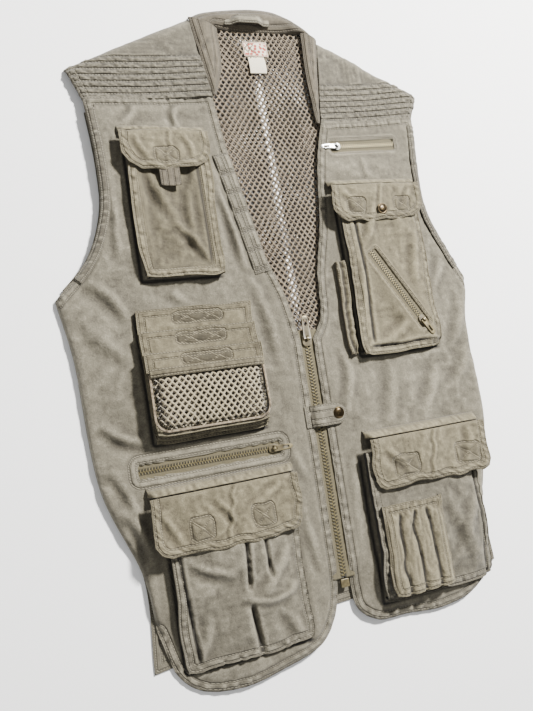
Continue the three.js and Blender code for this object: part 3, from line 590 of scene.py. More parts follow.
def woven_tape(name, body, dark):
    """Zip tape: narrow herringbone ribs on both sides of the chain, a darker stitch row, and painted shade
    near black under the teeth.
    """
    f = Finish(name, Roughness=0.85, Sheen_Weight=0.15)
    across, run = f.number("across"), f.number("run")
    ribs = ((run * 1.9 + across.size() * 1.3) * 2.6).math("SINE")
    fuzz = f.grain(700, 3.0, 0.6)
    cloud = f.grain(50, 3.0)
    shade = ribs * 0.22 + (fuzz - 0.5) * 0.9 + (cloud - 0.5) * 0.5
    colour = f.mix(shade.band(-0.5, 0.5), dark, body)
    row = (across.size() - 8.6).size().band(0.3, 0.8, 1.0, 0.0)
    colour = f.mix(row * 0.5, colour, dark)
    # Painted shade: the tape under and between the teeth is near black.
    shade_under_teeth = across.size().band(2.6, 4.2, 1.0, 0.0)
    colour = f.mix(shade_under_teeth * 0.9, colour, linear(30, 27, 19))
    return f.wear(Base_Color=colour, Normal=f.bump(ribs * 0.5 + fuzz, 0.0003, 0.8))


TAPE = woven_tape("olive_tape", linear(100, 92, 67), linear(70, 64, 45))


def metal(name, body, pale, dark, metallic, rough, coat=0.0, rub=0.8):
    """Painted or plated metal: a fine grain, dull patches, and the paint gone pale on rounded edges."""
    f = Finish(name, Coat_Weight=coat, Coat_Roughness=0.25)
    grain, patch = f.grain(900, 3.0, 0.6), f.grain(130, 3.0, 0.6, 0.5)
    edge = f.node("ShaderNodeNewGeometry", {}, {}, out=7)
    rubbed = (edge + (patch - 0.5) * 0.12).band(0.53, 0.6)
    colour = f.mix((patch + (grain - 0.5) * 0.5).band(0.3, 0.75), dark, body)
    colour = f.mix(rubbed * rub, colour, pale)
    return f.wear(Base_Color=colour, Roughness=(rough + (patch - 0.5) * 0.22).band(0.0, 1.0, 0.0, 1.0),
                  Metallic=rubbed * (1 - metallic) * 0.6 + metallic, Normal=f.bump(grain, 0.00008, 0.5))


PAINTED = metal("tan_paint", linear(94, 84, 57), linear(140, 129, 97), linear(66, 58, 37), 0.1, 0.45, 0.15)
TEETH = metal("olive_teeth", linear(118, 109, 79), linear(150, 140, 108), linear(88, 80, 55), 0.0, 0.5,
              rub=0.2)
SILVER = metal("worn_nickel", linear(92, 92, 89), linear(170, 170, 167), linear(52, 52, 50), 0.95, 0.3,
               rub=0.4)
BRASS = metal("antique_brass", linear(56, 45, 26), linear(128, 110, 70), linear(30, 24, 14), 0.85, 0.36,
              rub=0.45)


def hook_and_loop(name, body, dark):
    """Napped fastening pads: a dense short pile with flattened patches."""
    f = Finish(name, Roughness=0.97, Sheen_Weight=0.12)
    pile, patch = f.grain(1100, 3.0, 0.7), f.grain(90, 2.0)
    colour = f.mix((pile * 0.7 + patch * 0.3).band(0.3, 0.7), dark, body)
    return f.wear(Base_Color=colour, Normal=f.bump(pile, 0.0007, 0.9))


PAD = hook_and_loop("napped_pad", linear(92, 84, 62), linear(62, 56, 40))


def printed_label(name):
    """Woven label: cream satin with a plain red border band and small leaf-like flecks."""
    f = Finish(name, Roughness=0.75)
    thread = f.grain(1500, 2.0, 0.5)
    inner = f.number("edge")
    flecks = f.node("ShaderNodeTexVoronoi", {"feature": "F1"}, {"Vector": f.place, "Scale": 260.0})
    red = flecks.band(0.42, 0.56, 1.0, 0.0) * inner.band(1.4, 1.9) * f.number("tone").band(0.2, 0.8)
    colour = f.mix((thread - 0.2).band(0.1, 0.6), linear(196, 186, 162), linear(226, 218, 198))
    colour = f.mix(red, colour, linear(150, 52, 40))
    border = (inner - 1.0).size().band(0.25, 0.5, 1.0, 0.0) * f.number("tone").band(0.2, 0.8)
    colour = f.mix(border, colour, linear(122, 44, 34))
    return f.wear(Base_Color=colour, Normal=f.bump(thread, 0.00015, 0.6))


LABEL = printed_label("woven_label")


def sewn(name, node, held, rests_on, x, y, z, finish=TWILL, thick=CLOTH, **rest):
    """A cloth piece: its shell, with the CAD nodes that it stands for hidden."""
    made = shell(name, x, y, z, thick, finish, **rest)
    if node:
        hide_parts(*([node] if isinstance(node, str) else node))
    as_sheet(made)


# ---------------------------------------------------------------- fronts
def rect(node):
    """A CAD node's box in pattern millimetres: left, right, foot, top, base and crown."""
    low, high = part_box(node)
    return (low.x / MM - PATTERN[0], high.x / MM - PATTERN[0], low.y / MM - PATTERN[1],
            high.y / MM - PATTERN[1], low.z / MM, high.z / MM)


def hemmed(side):
    """All stitched edges of one front, to measure from."""
    return [V_EDGE[side], ZIP_EDGE[side], HEM[side], ARMHOLE[side], YOKE_SEAM[side]]


def puckers(distance, x, y, strength=1.0):
    """Small gathers beside a seam: short-waved noise that fades with the distance from it."""
    waves = noise(x / 5.2, y / 5.2, 7) + 0.6 * noise(x / 2.9, y / 2.9, 8)
    return strength * 0.75 * waves * np.exp(-((distance / 8.0) ** 2))


def rungs(distance, run, layer=7, wide=10.5):
    """Ladder of short gathers across a stitched hem: noise that varies along the hem and hardly across it."""
    inside_hem = smooth(distance, 0.3, 2.4) * (1 - smooth(distance, wide - 2.2, wide))
    ladder = noise(run / 4.1, distance / 16, layer) + 0.5 * noise(run / 2.3, distance / 12, layer + 1)
    return inside_hem * ladder


def round_rungs(x, y, x0, x1, foot):
    """The same ladder round the sides and foot of a patch."""
    side, low = np.minimum(x - x0, x1 - x), y - foot
    return rungs(np.minimum(side, low), np.where(side < low, y, x + 300))


# Long soft folds that pull from a corner or a seam: from, to, height and half width.
DRAGS = [
    (-72, 168, -50, 62, 2.6, 5.0), (-62, 176, -38, 96, 1.8, 4.0), (-196, 182, -190, 84, 2.4, 5.5),
    (-232, 70, -186, 22, 2.6, 7.0), (-244, 30, -196, -28, 2.2, 8.0), (-140, 52, -128, 30, 1.6, 6.0),
    (-46, 60, -20, -60, 1.8, 6.5), (-238, -84, -190, -118, 2.8, 6.0), (-232, -130, -206, -190, 2.4, 6.0),
    (-226, -170, -198, -228, 2.6, 5.5), (-40, -120, -14, -190, 1.8, 6.0), (-34, -200, -12, -290, 2.0, 6.0),
    (-100, 268, -112, 232, 2.0, 4.0), (-150, 262, -168, 236, 1.8, 4.5), (-212, -250, -192, -330, 2.4, 6.0),
    (214, 60, 186, 14, 2.4, 6.0), (236, 10, 206, -60, 2.6, 7.0), (230, -50, 200, -110, 2.4, 7.0),
    (60, -40, 44, -120, 2.0, 6.0), (120, -62, 100, -140, 2.0, 8.0), (180, -70, 150, -138, 2.2, 8.0),
    (50, 160, 40, 60, 1.6, 5.0), (40, -160, 32, -300, 1.8, 6.0), (120, 236, 132, 168, 1.6, 5.0),
    # on the pockets
    (96, 66, 84, -32, 3.2, 5.0), (158, -8, 104, -44, 3.4, 6.0), (122, 132, 100, 62, 2.4, 5.0),
    (178, 92, 160, 18, 2.4, 6.0), (-172, -236, -120, -264, 2.6, 5.0), (-52, -246, -100, -294, 3.2, 6.0),
    (-150, -296, -172, -350, 2.4, 6.0), (-70, -306, -50, -362, 2.4, 6.0), (198, -226, 160, -304, 3.0, 7.0),
    (150, -222, 192, -330, 2.6, 8.0), (-156, 192, -122, 116, 3.0, 6.0), (-100, 184, -112, 88, 2.8, 5.0),
    (-128, 130, -92, 76, 2.8, 4.5),
    # on the flaps
    (-190, -182, -166, -224, 2.4, 4.5), (-134, -176, -108, -208, 2.0, 4.0), (-52, -178, -92, -194, 1.6, 4.0),
    (76, -158, 104, -194, 2.0, 4.5), (200, -156, 178, -202, 2.2, 5.0), (-162, 222, -142, 192, 1.8, 3.5),
    (-102, 222, -94, 190, 1.8, 3.5), (82, 150, 98, 124, 1.6, 3.5), (178, 150, 160, 122, 1.6, 3.5),
]


def drags(x, y):
    """Each fold is a soft ridge with a trough along its lower left side, fading out at both its ends."""
    z = np.zeros_like(x)
    for ax, ay, bx, by, high, wide in DRAGS:
        length = math.hypot(bx - ax, by - ay)
        ux, uy = (bx - ax) / length, (by - ay) / length
        run = ((x - ax) * ux + (y - ay) * uy) / length
        off = -(x - ax) * uy + (y - ay) * ux + 3.0 * noise(run * 2.3, ax, 3)
        ends = np.sin(math.pi * np.clip(run, 0, 1)) ** 0.8
        trough = 0.7 * np.exp(-(((off + 1.7 * wide) / wide) ** 2))
        z = z + high * ends * (np.exp(-((off / wide) ** 2)) - trough)
    return z


# The parts of the fronts that pockets and flaps cover: left, right, foot, top.
POCKET_ROOMS = [(-172, -78, 60, 226), (-185, -54, -116, 28), (-200, -36, -352, -166), (60, 190, -52, 160),
                (50, 216, -338, -147)]


def bare(x, y):
    """One on cloth that lies open and zero under the pockets, with a soft change between."""
    open_cloth = np.ones_like(x)
    for x0, x1, y0, y1 in POCKET_ROOMS:
        dx = np.maximum(x0 - x, x - x1)
        dy = np.maximum(y0 - y, y - y1)
        open_cloth = open_cloth * smooth(np.maximum(dx, dy), -2, 12)
    strip = reach(np.array([(-61, 204), (-32, 58)], float), x, y, 2)
    return open_cloth * smooth(strip, 9, 17)


# Patches that stand up from the front, with a trough and a painted shadow at their seam.
SEAMED_ON = ["chest_pocket_right", "tier_pocket_upper", "lower_pocket_right", "lower_pocket_left",
             "bellows_pocket_left"]


def trough_and_shadow_beside(x, y):
    """One in the narrow trough along the left side and foot of every patch, less along its right side: it
    sinks the front there and marks a painted shadow, as cast by a light from the upper right.
    """
    trough_and_shadow = np.zeros_like(x)
    for node in SEAMED_ON:
        x0, x1, foot, top = rect(node)[:4]
        out = box_sdf(x, y, x0, x1, foot, top, 2.0)
        far_side = smooth(x, x1 - 6, x1 + 1)
        under = 1 - smooth(y, top - 14, top)
        trough_and_shadow = np.maximum(trough_and_shadow, np.exp(-((out - 0.4) / 2.0) ** 2) * (1 - 0.75 * far_side) * under)
    return trough_and_shadow


FRONT_NODES = {
    "right": ["front_panel_right", "front_lower_right", "hip_facing_front", "hip_facing_side"],
    "left": ["front_panel_left"],
}


def front(side, cols, rows):
    """One front: its four borders filled, laid, crushed where it lies bare, pressed in at the zip slot."""
    sign = -1 if side == "right" else 1
    outer = even(np.concatenate([ARMHOLE[side], SIDE[side][1:]]), rows)
    inner = even(np.concatenate([V_EDGE[side], ZIP_EDGE[side][1:]]), rows)
    top = even(YOKE_SEAM[side], cols)
    hem = even(HEM[side], cols)
    left, right = (outer, inner) if side == "right" else (inner, outer)
    x, y = between(left, right, top, hem)
    z = front_height(x, y)
    found = [reach_run(line, x, y) for line in hemmed(side)]
    nearest = np.argmin([distance for distance, _ in found], axis=0)
    edge = np.choose(nearest, [distance for distance, _ in found])
    run = np.choose(nearest, [run for _, run in found]) + 90 * nearest
    loose = still(x, y) * bare(x, y) * smooth(edge, 2, 18)
    z = z + loose * (1.9 * crumple(x, y, 15 * sign, 1.5) + 0.7 * crumple(y, x, 120, 0.6) + 1.5 * drags(x, y))
    z = z + 1.3 * rungs(edge, run) + 0.6 * puckers(edge, x, y)
    z = z + 0.35 * smooth(edge, 0.5, 2.5) - 0.8 * np.exp(-(((edge - 9.4) / 1.1) ** 2))
    slot = HIP_ZIP if side == "right" else CHEST_ZIP
    lift, stitch, out = welt(slot, x, y, 2 if side == "right" else 1)
    trough_and_shadow = trough_and_shadow_beside(x, y)
    z = np.maximum(z + lift - 1.4 * trough_and_shadow, 2.6)
    # Painted shade inside the zip slot, and a painted shadow in the trough beside each patch.
    tone = -0.4 * smooth(-out, -0.5, 1.5) - 0.95 * trough_and_shadow
    made = shell(f"front_cloth_{side}", x, y, z, CLOTH, TWILL, edge=edge, mark=stitch, tone=tone)
    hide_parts(*FRONT_NODES[side])
    return as_sheet(made)


front("right", 112, 290)
front("left", 104, 280)


# ---------------------------------------------------------------- yokes, neckbands, collar
def yoke(side):
    """Quilted shoulder: seven crinkled channels by the seam, plain cloth above, rolled over at the top."""
    seam = even(YOKE_SEAM[side] - (0, 3.2), 110)
    neck_top, shoulder = ((-73, 375), (-223, 307)) if side == "right" else ((91, 353), (225, 283))
    ridge = even([shoulder, neck_top] if side == "right" else [neck_top, shoulder], 110)
    x, y = ruled(ridge, seam, 70)
    up = reach(seam, x, y)
    quilted = 1 - smooth(up, 52.5, 54)
    rows = up / 7.5
    channel = np.abs(np.sin(math.pi * rows)) ** 0.55
    crinkle = noise(x / 3.6, rows * 2.1, 4) + 0.6 * noise(x / 2.0, rows * 2.6, 6)
    z = FRONT_TOP + 1.3 * noise(x / 70, y / 60, 3) * smooth(up, 0, 20)
    z = z + quilted * (1.5 * channel - 0.5 + 1.15 * crinkle * channel)
    z = z + (1 - quilted) * (2.2 * crumple(x, y, 60, 1.4) + 0.5 * crumple(y, x, 200, 0.5))
    fall = 1 - np.clip(reach([shoulder, neck_top], x, y) / 12, 0, 1)
    z = z - 8.6 * (1 - np.sqrt(1 - fall**2))
    arm = reach([seam[0] if side == "right" else seam[-1], shoulder], x, y)
    z = z - 3.0 * (1 - np.clip(arm / 8, 0, 1)) ** 2
    edge = np.where(arm < 14, arm, 14)
    line = np.where(quilted > 0.5, rows, 7.5)
    # Painted shade: the whole yoke is darkened, and more in the troughs of the quilted channels.
    sewn(f"yoke_cloth_{side}", f"yoke_{side}", "laid", "back_net", x, y, z, edge=edge, rows=line,
         tone=-0.36 - 0.6 * quilted * (1 - smooth(channel, 0.1, 0.75)))


def ribbon(line, width, count, across=9):
    """Grid along a line: across steps to either side of it, square to its run."""
    mid = even(line, count)
    run = np.gradient(mid, axis=0)
    run /= np.linalg.norm(run, axis=1, keepdims=True)
    normal = np.stack([-run[:, 1], run[:, 0]], -1)
    u = np.linspace(-0.5, 0.5, across)[None, :, None]
    grid = mid[:, None] + u * width * normal[:, None]
    return grid[..., 0], grid[..., 1], np.linspace(-1, 1, across)[None, :] * np.ones((count, 1))


def neckband(side):
    """Rolled facing beside the neck opening, from the collar down to the V."""
    if side == "right":
        outer, inner = curve((-73, 375), (-66, 330), (-58, 277)), curve((-39, 362), (-41, 312), (-53, 277))
    else:
        outer, inner = curve((91, 353), (84, 300), (76, 242)), curve((70, 362), (68, 312), (71, 242))
    left, right = (outer, inner) if side == "right" else (inner, outer)
    rows, cols = 90, 22
    left, right = even(left, rows), even(right, rows)
    x, y = between(left, right, even([left[0], right[0]], cols), even([left[-1], right[-1]], cols))
    u = np.linspace(0, 1, cols)[None, :] * np.ones((rows, 1))
    v = np.linspace(0, 1, rows)[:, None]
    roll = np.sin(math.pi * np.clip(u, 0.02, 0.98)) ** 0.5
    z = 8.6 + (3.4 + 2.5 * (1 - v)) * roll + 0.6 * noise(x / 6, y / 8, 5)
    edge = np.minimum(reach(inner, x, y), reach(outer, x, y))
    # Painted shade: the shaded twill, darkened further by its tone.
    sewn(f"neck_facing_{side}", f"neckband_{side}", "folded", f"front_cloth_{side}", x, y, z, TWILL_PAINTED_SHADE,
         edge=edge, tone=-0.2)


for half in ("right", "left"):
    yoke(half)
for half in ("right", "left"):
    neckband(half)


def collar():
    """Rolled band across the rear of the neck: a half tube between its outer and inner lines."""
    outer = curve((-73, 376), (-55, 384), (39, 391), (86, 363), (91, 354))
    inner = curve((-40, 363), (-11, 361), (29, 361), (70, 362.5))
    cols, rows = 110, 26
    top, bottom = even(outer, cols), even(inner, cols)
    x, y = ruled(top, bottom, rows)
    v = np.linspace(0, 1, rows)[:, None] * np.ones((1, cols))
    roll = np.sin(math.pi * np.clip(v, 0.0, 1.0)) ** 0.55
    z = 3.2 + 9.6 * roll + roll * (1.0 * noise(x / 22, y / 9, 6) + 0.5 * noise(x / 6, y / 12, 4))
    edge = np.minimum(reach(outer, x, y), reach(inner, x, y))
    # Painted shade: the shaded twill, darkened further by its tone.
    sewn("collar_band", "back_collar", "folded", "back_net", x, y, z, TWILL_PAINTED_SHADE, edge=edge, tone=-0.35)


collar()


def hanger():
    """Hanging loop: webbing that rises off the collar and comes back down to it."""
    t = np.linspace(-1, 1, 70)
    x = (29 * t)[None, :] * np.ones((9, 1))
    v = np.linspace(-1, 1, 9)[:, None]
    y = 371.5 - 5.2 * v + 0 * x
    rise = 6.2 * smooth(1 - np.abs(t), 0.22, 0.62)[None, :]
    z = 12.6 + rise + 0.25 * np.cos(v * math.pi) + 0 * x
    sewn("hanging_webbing", "hanger_loop", "stretched", "collar_band", x, y, z, TWILL, WEBBING,
         edge=5.2 * (1 - np.abs(v)) + 1.0)


hanger()


def arm_binding(side):
    """Turned and stitched edge of an armhole, standing a little above the front."""
    sign = -1 if side == "right" else 1
    line = ARMHOLE[side].copy()
    line[:, 0] -= sign * 5.6
    keep = line[(line[:, 1] > (66 if side == "right" else 47)) & (line[:, 1] < line[0, 1] - 12)]
    x, y, u = ribbon(keep, 9.4, 190, 11)
    z = front_height(x, y) + 0.5 + 0.9 * (1 - np.abs(u) ** 4) + 0.7 * noise(x / 9, y / 3.6, 9)
    sewn(f"arm_binding_{side}", f"armhole_binding_{side}", "folded", f"front_cloth_{side}", x, y, z, TWILL,
         WEBBING, edge=4.7 * (1 - np.abs(u)) + 0.6, flip=True)


arm_binding("right")
arm_binding("left")


# ---------------------------------------------------------------- rear
def rear_cloth():
    """Lower rear panel, flat on the ground but for a light crumple, hemmed all round."""
    left = even(BACK_SIDE["right"], 300)
    left = even(left[left[:, 1] < -40], 150)
    right = even(BACK_SIDE["left"], 300)
    right = even(right[right[:, 1] < -40], 150)
    top = even([left[0], right[0]], 210)
    hem = even(curve(left[-1], (-51, -328), (69, -324), right[-1]), 210)
    x, y = between(left, right, top, hem)
    edge = np.min([reach(line, x, y) for line in (left, right, top, hem)], axis=0)
    z = 1.7 + 0.5 * smooth(edge, 4, 30) * (crumple(x, y, 77) + 1)
    sewn("back_cloth", "back_panel", "laid", "floor", x, y, z, edge=edge)


def inside(poly, x, y):
    """True for points inside an outline: an odd number of its runs lie to their right."""
    px, py = poly[:, 0], poly[:, 1]
    qx, qy = np.roll(px, -1), np.roll(py, -1)
    crosses = (py > y[:, None]) != (qy > y[:, None])
    at = (qx - px) * (y[:, None] - py) / np.where(qy == py, 1e-9, qy - py) + px
    return (crosses & (x[:, None] < at)).sum(1) % 2 == 1


def net(name, outline, level, pitch, step, hole, thick, finish, replaces=(), turn=0.0, margin=4.6):
    """Knitted net: staggered six-sided cells, each a ring from the strand's middle in to its hole.

    A strand's middle is thick and its hole's rim is thin, so every strand is rounded. Cells share corners,
    and a corner on the net's own edge has no thickness, which closes the net there.
    """
    low, high = outline.min(0), outline.max(0)
    i, j = np.meshgrid(np.arange(-400, 401), np.arange(-400, 401))
    cx, cy = (i + 0.5 * (j % 2)) * pitch, j * step
    c, s = math.cos(math.radians(turn)), math.sin(math.radians(turn))
    mid = (low + high) / 2
    gx, gy = (c * cx - s * cy + mid[0]).ravel(), (s * cx + c * cy + mid[1]).ravel()
    near = (gx > low[0]) & (gx < high[0]) & (gy > low[1]) & (gy < high[1])
    gx, gy = gx[near], gy[near]
    kept = inside(outline, gx, gy) & (reach(np.concatenate([outline, outline[:1]]), gx, gy, 400) > margin)
    gx, gy = gx[kept], gy[kept]
    side = (pitch**2 / 4 + step**2) / (2 * step)
    side_low = side - pitch**2 / (4 * step)
    corner = np.array([(pitch / 2, side_low), (0, side), (-pitch / 2, side_low), (-pitch / 2, -side_low),
                       (0, -side), (pitch / 2, -side_low)])
    rim = corner / np.linalg.norm(corner, axis=1, keepdims=True) * np.array(hole) / 2 * 1.08
    corner, rim = (np.stack([c * q[:, 0] - s * q[:, 1], s * q[:, 0] + c * q[:, 1]], -1)
                   for q in (corner, rim))
    ox, oy = gx[:, None] + corner[:, 0], gy[:, None] + corner[:, 1]
    keys = np.round(np.stack([ox, oy], -1).reshape(-1, 2), 2)
    _, first, owner, shared = np.unique(keys, axis=0, return_index=True, return_inverse=True,
                                        return_counts=True)
    owner = owner.ravel()
    flat = np.stack([ox, oy], -1).reshape(-1, 2)[first]
    flat = flat + 0.55 * np.stack([noise(flat[:, 0] / 9, flat[:, 1] / 9, k) for k in (2, 3)], -1)
    half = np.where(shared > 2, thick / 2, 0.0)
    z = level(flat[:, 0], flat[:, 1])
    ix, iy = (gx[:, None] + rim[:, 0]).ravel(), (gy[:, None] + rim[:, 1]).ravel()
    ix = ix + 0.55 * noise(ix / 9, iy / 9, 2)
    iy = iy + 0.55 * noise(ix / 9, iy / 9, 3)
    iz = level(ix, iy) + 0.25 * noise(ix / 3, iy / 3, 4)
    count = len(first)
    bottom = np.arange(count) + np.where(shared <= 2, 0, count)
    flat_x, flat_y = flat.T
    verts = np.concatenate([metres(flat_x, flat_y, z + half), metres(flat_x, flat_y, z - half),
                            metres(ix, iy, iz)])
    out = owner.reshape(-1, 6)
    inn = np.arange(len(gx) * 6).reshape(-1, 6) + 2 * count
    nxt = np.roll(np.arange(6), -1)
    top_quads = np.stack([out, out[:, nxt], inn[:, nxt], inn], -1).reshape(-1, 4)
    low_out = bottom[out]
    low_quads = np.stack([inn, inn[:, nxt], low_out[:, nxt], low_out], -1).reshape(-1, 4)
    quads = np.concatenate([top_quads, low_quads])
    used, quads = np.unique(quads, return_inverse=True)
    made = new_piece(name, verts[used], quads.reshape(-1, 4), finish, "vest")
    if replaces:
        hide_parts(*replaces)
    areas = np.empty(len(made.data.polygons))
    made.data.polygons.foreach_get("area", areas)
    width, length = (high - low) * MM
    made["cut"] = [float(width), float(length), float(areas.sum() / 2)]
    return made


def rear_nets():
    """Upper rear: an outer net in two halves, and a lining net behind the neck opening."""
    neck = [(-73, 375), (-55, 384), (39, 391), (86, 361), (91, 353)]
    right = np.concatenate([
        [(8.0, -42.0)], [(-248.5, -42.0)], BACK_SIDE["right"][BACK_SIDE["right"][:, 1] > -40][::-1],
        ARMHOLE["right"][::-1], [(-223, 307)], neck[:2], [(8.0, 388.5)]])
    left = np.concatenate([
        [(8.0, -42.0)], [(8.0, 388.5)], neck[2:], [(225, 283)], ARMHOLE["left"],
        BACK_SIDE["left"][BACK_SIDE["left"][:, 1] > -40], [(236.5, -42.0)]])

    def low_wave(x, y):
        return 1.4 + 0.5 * noise(x / 40, y / 40, 1)

    def high_wave(x, y):
        return 4.3 + 1.6 * noise(x / 34, y / 55, 3) + 0.6 * noise(x / 14, y / 18, 5)

    half = net("back_net", right, low_wave, 7.2, 4.6, (2.8, 4.0), 1.1, NET_SHADE, ["back_mesh"])
    as_sheet(half)
    half = net("back_net_left", left, low_wave, 7.2, 4.6, (2.8, 4.0), 1.1, NET_SHADE)
    as_sheet(half)
    v_room = np.array([
        (-86, 365), (-40, 376), (60, 376), (92, 350), (92, 236), (84, 180), (76, 110), (64, 45), (52, -36),
        (-22, -36), (-34, 20), (-58, 110), (-74, 190), (-84, 270)], float)
    lining = net("lining_net", v_room, high_wave, 7.2, 4.6, (3.5, 4.9), 1.7, NET, turn=3.0)
    as_sheet(lining)


def taped_seams():
    """Folded tape down the side and shoulder edges of the rear net and across its foot, seen from behind."""
    for name, line in (
        ("waist_tape", [(-245, -41), (234, -41)]),
        ("arm_tape_right", ARMHOLE["right"][6:-6] + (4.2, 0)),
        ("arm_tape_left", ARMHOLE["left"][6:-6] - (4.2, 0)),
        ("shoulder_tape_right", [(-218, 304), (-76, 369)]),
        ("shoulder_tape_left", [(94, 347), (220, 280)]),
    ):
        x, y, u = ribbon(line, 9.0, 150, 9)
        z = 2.4 + 0.3 * (1 - np.abs(u) ** 4) + 0.12 * noise(x / 6, y / 6, 4)
        flip = name in ("arm_tape_right", "arm_tape_left")
        sewn(name, None, "folded", "back_net", x, y, z, TWILL, 1.9, edge=4.5 * (1 - np.abs(u)) + 0.6,
             flip=flip)


rear_cloth()
rear_nets()
taped_seams()


# ---------------------------------------------------------------- pockets
def wall(length, deep, inset):
    """Across a side wall and its rounded shoulder: how far in from the outline, and the share of height."""
    share = np.clip(length / deep, 0, 1)
    height = np.sin(share * math.pi / 2) ** 0.75
    inward = inset * (1 - share) ** 1.2 + np.maximum(length - deep, 0)
    return inward, height


def wall_shade(share):
    """One at the foot of a side wall, falling to zero on the face."""
    return 1 - smooth(share, 0.1, 0.95)


def worn_outline(x, y, x0, x1, foot, bend):
    """Washed shape of a sewn patch: waved by slow noise, with its lower corners drawn in."""
    corner = np.exp(-(np.minimum(x - x0, x1 - x) / 9) ** 2 - ((y - foot) / 9) ** 2)
    pull = np.sign((x0 + x1) / 2 - x)
    waved_x = x + bend * noise(x / 60, y / 34, 6) + 2.2 * corner * pull
    waved_y = y + bend * noise(x / 30, y / 60, 9) + 2.2 * corner
    return waved_x, waved_y


def pocket_grid(x0, x1, foot, top, deep, pitch=2.0, inset=1.6, mouth_wall=False, bend=1.5):
    """Grid over a patch pocket: up its left wall, across the face, down the right wall, the same at its foot.

    Returns x, y, the height share from 0 at the seam to 1 on the face, and the distance to the nearest side.
    """
    cols = int((x1 - x0 + 2 * deep) / pitch) + 1
    rows = int((top - foot + (2 if mouth_wall else 1) * deep) / pitch) + 1
    u = np.linspace(0, x1 - x0 + 2 * deep, cols)
    v = np.linspace(0, top - foot + (2 if mouth_wall else 1) * deep, rows)
    left_in, left_up = wall(u, deep, inset)
    right_in, right_up = wall(u[::-1], deep, inset)
    foot_in, foot_up = wall(v[::-1], deep, inset)
    x = np.where(u < u[-1] / 2, x0 + left_in, x1 - right_in)
    if mouth_wall:
        top_in, top_up = wall(v, deep, inset)
        y = np.where(v < v[-1] / 2, top - top_in, foot + foot_in)
        down = np.minimum(foot_up, top_up)
    else:
        y = foot + foot_in
        y = np.where(v < v[-1] / 2, np.minimum(top, top - v), y)
        down = foot_up
    x, y = np.meshgrid(x, y)
    share = np.minimum(left_up, right_up)[None, :] * down[:, None]
    side = np.minimum(np.minimum(x - x0, x1 - x), y - foot)
    if mouth_wall:
        side = np.minimum(side, top - y)
    x, y = worn_outline(x, y, x0, x1, foot, bend)
    return x, y, share, side


def crossed(x, y, x0, x1, y0, y1, crosses=1):
    """A sewn pad: its outline and the diagonals in it, as one number that is zero on every stitch line."""
    out = box_sdf(x + 1.2 * noise(y / 9, x / 30, 2), y + 1.0 * noise(x / 8, y / 30, 4), x0, x1, y0, y1, 5.0)
    u = (x - x0) / (x1 - x0) * crosses
    u = (u - np.floor(np.clip(u, 0, crosses - 1e-6)) - 0.5) * (x1 - x0) / crosses
    v = y - (y0 + y1) / 2
    lean = (y1 - y0) / ((x1 - x0) / crosses)
    a, b = (v - lean * u) / math.hypot(1, lean), (v + lean * u) / math.hypot(1, lean)
    inner = nearer(a, b)
    both = out * np.abs(inner) / (np.abs(out) + np.abs(inner) + 1e-6)
    return out, np.where(out < 0, both, out)


def pressed(out, depth=0.7):
    """Relief of a pad sewn behind the cloth: raised inside, with a groove where it is stitched."""
    return depth * smooth(-out, 0.5, 3.5) - 0.65 * np.exp(-((out / 1.2) ** 2))


def chest_pocket():
    """Raised frame round three sides and a panel sunk inside it, darkened as painted shade."""
    x0, x1, foot, top = rect("chest_pocket_right")[:4]
    deep = 9.0
    x, y, share, side = pocket_grid(x0, x1, foot, top, deep, 1.6, 4.0, bend=3.0)
    inner = box_sdf(x, y, x0 + 10, x1 - 14, foot + 10, top + 40, 5)
    face = 1.2 * smooth(inner, -0.8, 1.2) - 2.6 * smooth(-inner, 0, 12) * (1 + 0.4 * noise(x / 20, y / 24, 5))
    folds = (2.8 * crumple(x * 1.1, y * 0.6, 33, 1.2) + 1.0 * crumple(y, x, 90, 0.6)) * smooth(-inner, 0, 12)
    hollow = np.exp(-(((x - x1 + 14.5) / 1.5) ** 2)) * smooth(y, foot + 10, foot + 22)
    folds = folds + drags(x, y) * smooth(-inner, 0, 8)
    z = front_height(x, y) + 0.3 + share * (deep + face + folds - 1.6 * hollow)
    z = z + share * 1.3 * round_rungs(x, y, x0, x1, foot)
    # Painted shade on the sunk panel, in the groove by the right border and at the wall feet.
    sewn("chest_pocket_cloth", "chest_pocket_right", "folded", "front_cloth_right", x, y, z, TWILL_WARM,
         edge=np.maximum(side, 0), mark=inner - 1.2,
         tone=-0.4 * smooth(-inner, -1, 2) - 0.55 * hollow - wall_shade(share))


def tier(name, index):
    """One of the stepped flat pockets: folded mouth with two rows, and a sewn pad with crosses under it."""
    x0, x1, foot, top, base, crown = rect(f"tier_pocket_{name}")
    deep = crown - base
    lift = base - 11.3
    x, y, share, side = pocket_grid(x0, x1, foot, top, deep, 1.8, 1.6)
    out, mark = crossed(x, y, -146, -90, top - 18, top - 5, 2)
    z = front_height(x, y) + 0.3 + lift * 0.9 + share * deep
    fold = np.exp(-(((top - y) / 2.0) ** 2)) * 0.8
    z = z + share * (pressed(out, 0.4) + fold + 0.9 * crumple(x, y, 41 * index, 0.5)
                     + 0.7 * rungs(top - y + 0.4, x) + 0.6 * round_rungs(x, y, x0, x1, foot))
    tone = -0.6 * smooth(-out, -0.5, 1) - wall_shade(share)
    sewn(f"tier_cloth_{name}", f"tier_pocket_{name}", "folded", "front_cloth_right", x, y, z, TWILL_WARM,
         edge=np.minimum(np.maximum(side, 0), top - y + 0.4), mark=mark, tone=tone)


